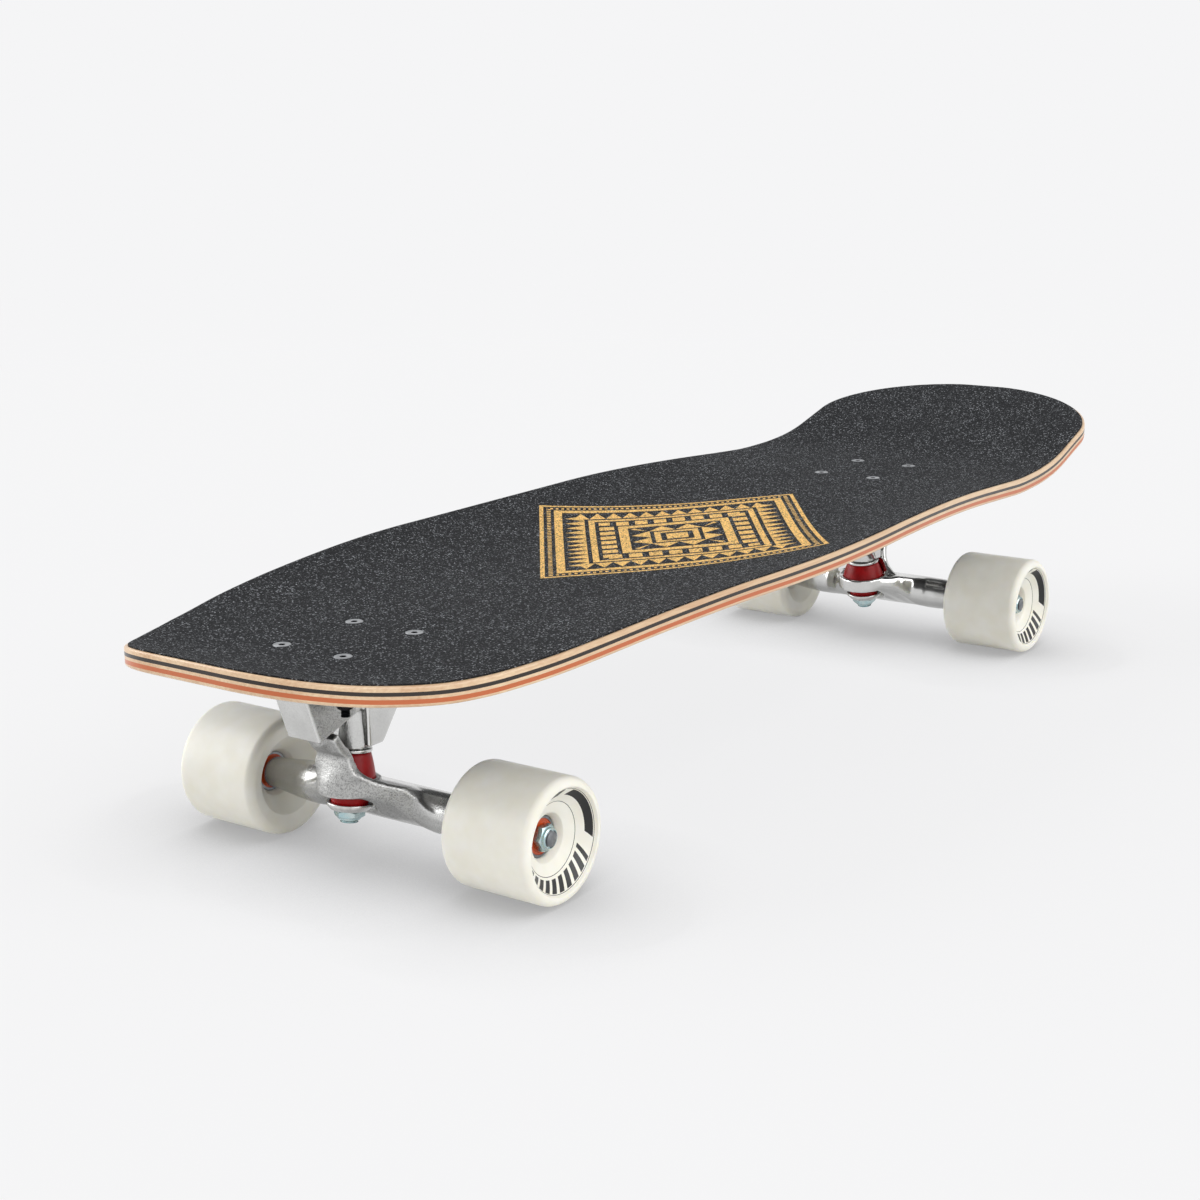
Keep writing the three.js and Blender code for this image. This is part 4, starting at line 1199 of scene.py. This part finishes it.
class BoardBushings(bpy.types.Operator):
    """Builds the upper and lower bushings between the ring and the washers"""

    bl_idname = "board.bushings"
    bl_label = "Bushings"

    def execute(self, context):
        bore = context.scene.board_truck.kingpin_diameter / 2 + mm(0.1)
        for truck in TRUCKS:
            matrix = kingpin_matrix(truck)
            for place in ("upper", "lower"):
                node = f"{truck}_{place}_bushing"
                low, high, foot = measured(node, matrix)
                bm = turned(self.barrel(low, high, foot, self.narrow_end(node, matrix, high), bore))
                soften(bm, mm(0.7), 4, 50)
                name = f"{truck}_{place}_cushion"
                obj = piece(name, bm, [poured_urethane_bushing], node, matrix, rides=False)
                levels = (low, high) if place == "lower" else (high, low)
                start, end = [matrix @ Vector((0, 0, level)) for level in levels]
                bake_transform(obj)
                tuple(start)
                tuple(end)
        return {"FINISHED"}

    def narrow_end(self, node, matrix, high):
        inverse = matrix.inverted()
        points = [inverse @ vert.co for vert in NODES[node].data.vertices]
        return max(point.xy.length for point in points if point.z > high - mm(0.1))

    def barrel(self, low, high, foot, top, bore):
        """Straight lines with a slight belly half way up."""
        points = []
        for i in range(CUSHION_STEPS + 1):
            reach = i / CUSHION_STEPS
            belly = CUSHION_BELLY * (math.sin(math.pi * reach) - 1)
            points.append((foot + (top - foot) * reach + belly, low + (high - low) * reach))
        return [(bore, low), *points, (bore, high)]


class BoardWashers(bpy.types.Operator):
    """Builds the flat washers above the bushings and the cupped ones below"""

    bl_idname = "board.washers"
    bl_label = "Washers"

    def execute(self, context):
        bore = context.scene.board_truck.kingpin_diameter / 2 + mm(0.2)
        for truck in TRUCKS:
            matrix = kingpin_matrix(truck)
            node = f"{truck}_upper_washer"
            low, high, rim = measured(node, matrix)
            bm = soften(turned([(bore, low), (rim, low), (rim, high), (bore, high)]), mm(0.45), 4)
            piece(f"{truck}_flat_washer", bm, [stamped_plated_steel], node, matrix)
            node = f"{truck}_lower_washer"
            low, high, rim = measured(node, matrix)
            inside, floor = rim - CUP_WALL, high - CUP_RIM
            profile = [
                (bore, low), (inside - mm(0.5), low), (rim, floor - mm(0.3)), (rim, high),
                (inside, high), (inside, floor), (bore, floor),
            ]
            bm = soften(turned(profile), mm(0.4), 4, 20)
            piece(f"{truck}_cup_washer", bm, [stamped_plated_steel], node, matrix)
        return {"FINISHED"}


class BoardPivotCups(bpy.types.Operator):
    """Builds the nylon cups that the hangers pivot in"""

    bl_idname = "board.pivot_cups"
    bl_label = "Pivot cups"

    def execute(self, context):
        for truck in TRUCKS:
            node = f"{truck}_pivot_cup"
            matrix = pivot_matrix(truck)
            low, high, rim = measured(node, matrix)
            arc = [i * math.pi / 2 / PIVOT_STEPS for i in range(PIVOT_STEPS)]
            ball = [(PIVOT_BALL * math.cos(a), PIVOT_BALL * math.sin(a) + mm(0.2)) for a in arc]
            lip = PIVOT_BALL + mm(0.6)
            bm = turned([(0, high), (rim, high), (rim, low), (lip, low), *ball, (0, PIVOT_BALL + mm(0.2))])
            piece(f"{truck}_pivot_socket", bm, [moulded_black_nylon], node, matrix)
        return {"FINISHED"}


# Axles and wheels
AXLE_THREAD_RUN = mm(12)
AXLE_NUT_COLLAR = mm(1.7)
AXLE_FIT = mm(0.05)  # room between a bearing's bore and the axle
WHEEL_SEGMENTS = 128
LIP_STEPS = 10
TREAD_STEPS = 8
SHIELD_INNER = mm(5.9)
SHIELD_OUTER = mm(9.4)
SHIELD_RIBS = (mm(6.6), mm(7.7))
SHIELD_SINK = mm(0.3)
RIB_DEPTH = mm(0.6)


class BoardAxles(bpy.types.Operator):
    """Builds the axles with their threaded ends, and their nuts"""

    bl_idname = "board.axles"
    bl_label = "Axles"

    def execute(self, context):
        sizes = context.scene.board_truck
        for truck in TRUCKS:
            node = f"{truck}_axle"
            matrix = axle_matrix(truck)
            low, high, _ = measured(node, matrix)
            lower = thread_profile(sizes.axle_diameter / 2, low, low + AXLE_THREAD_RUN, sizes.axle_pitch)
            upper = [(radius, -level) for radius, level in lower[::-1]]
            bm = turned([(0, high), *upper, *lower, (0, low)], SMALL_SEGMENTS)
            piece(f"{truck}_axle_bar", bm, [turned_steel], node, matrix)
        for wheel in WHEELS:
            self.nut(wheel, sizes)
        return {"FINISHED"}

    def nut(self, wheel, sizes):
        node = f"{wheel}_axle_nut"
        matrix = wheel_matrix(wheel)
        low, high, _ = measured(node, matrix)
        across, bore = sizes.axle_nut_across, sizes.axle_diameter / 2 + NUT_ROOM
        collar = high - AXLE_NUT_COLLAR
        profile = [
            (bore, low + mm(0.4)), (bore + mm(0.4), low), *hex_profile(across, low, collar, True, True),
            (across * 0.455, collar + mm(0.1)), (across * 0.445, high - mm(0.5)), (across * 0.4, high),
            (bore + mm(0.7), high), (bore + mm(0.6), high - mm(0.8)), (bore, high - mm(0.9)),
        ]
        bm = flatten_to_hex(turned(profile, SMALL_SEGMENTS), across, low, collar)
        piece(f"{wheel}_nut", bm, [zinc_plated_steel], node, matrix)


class BoardWheels(bpy.types.Operator):
    """Builds the four cast wheels"""

    bl_idname = "board.wheels"
    bl_label = "Wheels"

    def execute(self, context):
        for wheel in WHEELS:
            node = f"{wheel}_wheel"
            matrix = wheel_matrix(wheel)
            _, high, _ = measured(node, matrix)
            radius = JOINTS[f"{wheel}_spin"]["pos_m"][2]
            bm = turned(self.section(radius, high, context.scene.board_wheel), WHEEL_SEGMENTS)
            soften(bm, mm(0.7), 3, 14)
            piece(f"{wheel}_tread", bm, [cast_urethane_wheel], node, matrix)
        return {"FINISHED"}

    def section(self, radius, half, sizes):
        """One closed section: the bearing seats, a dish in each face, rounded lips and a flat tread."""
        seat = sizes.bearing_outer / 2 + mm(0.05)
        middle = sizes.bearing_spacing / 2
        hub = [
            (seat - mm(2), middle), (seat, middle), (seat, middle + sizes.bearing_width + mm(0.3)),
            (sizes.dish_foot, half - sizes.dish_foot_depth),
        ]
        crown = radius - sizes.lip
        lip = [(crown - mm(0.5), half - mm(0.12))]
        for i in range(LIP_STEPS + 1):
            angle = i * math.pi / 2 / LIP_STEPS
            lip.append((crown + sizes.lip * math.sin(angle), half - sizes.lip * (1 - math.cos(angle))))
        outer_dish = [
            (sizes.dish_middle, half - sizes.dish_middle_depth),
            (sizes.dish_start, half - sizes.dish_start_depth),
        ]
        inner_dish = [(sizes.back_start, half - sizes.back_start_depth)]
        back = [(r, -level) for r, level in [*hub, *inner_dish, *lip][::-1]]
        run = half - sizes.lip
        tread = [(radius, run - 2 * run * i / TREAD_STEPS) for i in range(1, TREAD_STEPS)]
        return [*hub, *outer_dish, *lip, *tread, *back]


class BoardBearings(bpy.types.Operator):
    """Builds the eight bearings with their shields, and the spacers between them"""

    bl_idname = "board.bearings"
    bl_label = "Bearings"

    def execute(self, context):
        sizes = context.scene.board_wheel
        for wheel in WHEELS:
            matrix = wheel_matrix(wheel)
            for place in ("inner", "outer"):
                node = f"{wheel}_{place}_bearing"
                low, high, _ = measured(node, matrix)
                bm = turned(self.section(low, high, sizes), SMALL_SEGMENTS)
                for face in bm.faces:
                    shield = SHIELD_INNER < face.calc_center_median().xy.length < SHIELD_OUTER
                    face.material_index = 1 if shield else 0
                finishes = [turned_steel, moulded_bearing_shield]
                piece(f"{wheel}_{place}_races", bm, finishes, node, matrix)
            node = f"{wheel}_bearing_spacer"
            low, high, rim = measured(node, matrix)
            bore = sizes.bearing_bore / 2 + mm(0.1)
            bm = turned([(bore, low), (rim, low), (rim, high), (bore, high)], SMALL_SEGMENTS)
            piece(f"{wheel}_spacer_tube", soften(bm, mm(0.3)), [turned_steel], node, matrix)
        return {"FINISHED"}

    def section(self, low, high, sizes):
        """Two races with a sunk shield between them, which has two grooves round it."""
        bore, rim = sizes.bearing_bore / 2 + AXLE_FIT, sizes.bearing_outer / 2
        sunk, groove = high - SHIELD_SINK, high - RIB_DEPTH
        face = [
            (bore + mm(0.3), high), (SHIELD_INNER, high), (SHIELD_INNER + mm(0.02), high - mm(0.4)),
            (SHIELD_INNER + mm(0.2), sunk),
        ]
        for rib in SHIELD_RIBS:
            face += [(rib, sunk), (rib + mm(0.15), groove), (rib + mm(0.4), groove), (rib + mm(0.55), sunk)]
        face += [
            (SHIELD_OUTER - mm(0.3), sunk), (SHIELD_OUTER - mm(0.02), high - mm(0.5)), (SHIELD_OUTER, high),
            (rim - mm(0.4), high), (rim, high - mm(0.4)),
        ]
        back = [(radius, low + high - level) for radius, level in face[::-1]]
        return [(bore, high - mm(0.3)), *face, *back, (bore, low + mm(0.3))]


# Studio
CAMERA_PLACE = (1.062011, 0.691142, 0.396948)
CAMERA_YAW, CAMERA_PITCH, CAMERA_ROLL = -2.5196, 0.2469, -0.0143
CAMERA_LENS = 61.63
SENSOR_WIDTH = 36
BACKGROUND = "F5F5F6"
FLOOR = "F6F6F6"
FLOOR_RADIUS = 9.0
FADE_START, FADE_END = 1.2, 3.4
SHADOW_LIFT = 0.85
# Reach and darkest level of the painted contact shadow on the floor
PAINTED_CONTACT_REACH = mm(90)
PAINTED_CONTACT_SHADE = 0.45
AMBIENT = 0.44
# Each softbox is far off: its direction from the board, how wide it looks and its light square on
LAMPS = (
    ("right_softbox", (0.0, 1.0, 0.7), 55, 0.54),
    ("left_softbox", (0.45, -1.0, 0.5), 50, 0.66),
)


def seen_directly(add):
    """One for what the camera, a reflection or a glass shows, nought for light on its way to a surface."""
    rays = add("LightPath").node.outputs
    seen = add("Math", rays["Is Camera Ray"], rays["Is Glossy Ray"], operation="MAXIMUM")
    return add("Math", seen, rays["Is Transmission Ray"], operation="MAXIMUM")


def matt_white_paper(add):
    """A sweep of seamless paper: bright as the backdrop where it is seen, keeping a faint part of the board's
    real shadow, with a painted contact shadow under each wheel, and fading into the backdrop far off."""
    far_out = add("VectorMath", add("TexCoord", give="Object"), operation="LENGTH")
    far = add("MapRange", far_out, FADE_START, FADE_END, interpolation_type="SMOOTHSTEP")
    # Painted contact shadow: ambient occlusion near the wheels darkens the floor's glow
    near = add("AmbientOcclusion", Distance=PAINTED_CONTACT_REACH, samples=8, give="AO")
    painted_contact_shadow = add("MapRange", near, 0.35, 1.0, PAINTED_CONTACT_SHADE, 1.0)
    glow_with_painted_shadow = add("Emission", linear(BACKGROUND), painted_contact_shadow)
    lifted = add("Math", seen_directly(add), SHADOW_LIFT, operation="MULTIPLY")
    shown = add("MixShader", lifted, add("BsdfDiffuse", linear(FLOOR)), glow_with_painted_shadow)
    return add("MixShader", far, shown, add("BsdfTransparent"))


class BoardStudio(bpy.types.Operator):
    """Builds the floor, the world, the lamps and the camera"""

    bl_idname = "board.studio"
    bl_label = "Studio"

    def execute(self, context):
        self.floor()
        self.world(context.scene)
        self.lamps()
        self.camera(context.scene)
        context.scene.view_settings.view_transform = "Standard"
        return {"FINISHED"}

    def floor(self):
        bm = bmesh.new()
        bmesh.ops.create_circle(bm, cap_ends=True, segments=SEGMENTS, radius=FLOOR_RADIUS)
        floor = object_from("studio_floor", bm)
        floor.data.materials.append(finish(matt_white_paper))

    def world(self, scene):
        world = scene.world = bpy.data.worlds.new("studio_white")
        world.use_nodes = True
        world.node_tree.nodes.clear()
        add = node_maker(world)
        light = add("Background", (1, 1, 1, 1), AMBIENT)
        add("OutputWorld", add("MixShader", seen_directly(add), light, add("Background", linear(BACKGROUND))))

    def lamps(self):
        for name, place, spread, level in LAMPS:
            data = bpy.data.lights.new(name, "SUN")
            data.angle = math.radians(spread)
            data.energy = level * math.pi
            lamp = bpy.data.objects.new(name, data)
            lamp.location = place
            lamp.rotation_euler = (-Vector(place)).to_track_quat("-Z", "Y").to_euler()
            bpy.context.scene.collection.objects.link(lamp)

    def camera(self, scene):
        ahead = Vector((
            math.cos(CAMERA_YAW) * math.cos(CAMERA_PITCH),
            math.sin(CAMERA_YAW) * math.cos(CAMERA_PITCH),
            -math.sin(CAMERA_PITCH),
        ))
        right = Vector((math.sin(CAMERA_YAW), -math.cos(CAMERA_YAW), 0))
        up = right.cross(ahead)
        turned_right = math.cos(CAMERA_ROLL) * right + math.sin(CAMERA_ROLL) * up
        turned_up = math.cos(CAMERA_ROLL) * up - math.sin(CAMERA_ROLL) * right
        data = bpy.data.cameras.new("camera")
        data.sensor_width = SENSOR_WIDTH
        data.lens = CAMERA_LENS
        data.clip_start = 0.01
        camera = bpy.data.objects.new("camera", data)
        turn = Matrix((turned_right, turned_up, -ahead)).transposed().to_4x4()
        camera.matrix_world = Matrix.Translation(Vector(CAMERA_PLACE)) @ turn
        scene.collection.objects.link(camera)
        scene.camera = camera


class BoardPanel(bpy.types.Panel):
    """Lists the board's pieces and sizes in the sidebar"""

    bl_idname = "VIEW3D_PT_surf_skateboard"
    bl_label = "Surf Skateboard"
    bl_space_type = "VIEW_3D"
    bl_region_type = "UI"
    bl_category = "Board"

    def draw(self, context):
        for operator in OPERATORS:
            self.layout.operator(operator.bl_idname)
        for group in ("board_deck", "board_truck", "board_wheel", "board_colours"):
            settings = getattr(context.scene, group)
            for name in settings.bl_rna.properties.keys():
                if name not in ("rna_type", "name"):
                    self.layout.prop(settings, name)


GROUPS = {
    "board_deck": DeckSizes,
    "board_truck": TruckSizes,
    "board_wheel": WheelSizes,
    "board_colours": BoardColours,
}
OPERATORS = (
    BoardStudio,
    BoardDeck,
    BoardGrip,
    BoardScrews,
    BoardBaseplates,
    BoardHangers,
    BoardKingpins,
    BoardBushings,
    BoardWashers,
    BoardPivotCups,
    BoardAxles,
    BoardWheels,
    BoardBearings,
)


def register():
    for group in (*GROUPS.values(), *OPERATORS, BoardPanel):
        bpy.utils.register_class(group)
    for name, group in GROUPS.items():
        setattr(bpy.types.Scene, name, PointerProperty(type=group))


def unregister():
    for name in GROUPS:
        delattr(bpy.types.Scene, name)
    for group in (BoardPanel, *reversed(OPERATORS), *GROUPS.values()):
        bpy.utils.unregister_class(group)


def main():
    register()
    for operator in OPERATORS:
        name = operator.bl_idname.split(".")[1]
        getattr(bpy.ops.board, name)()


if __name__ == "__main__":
    main()
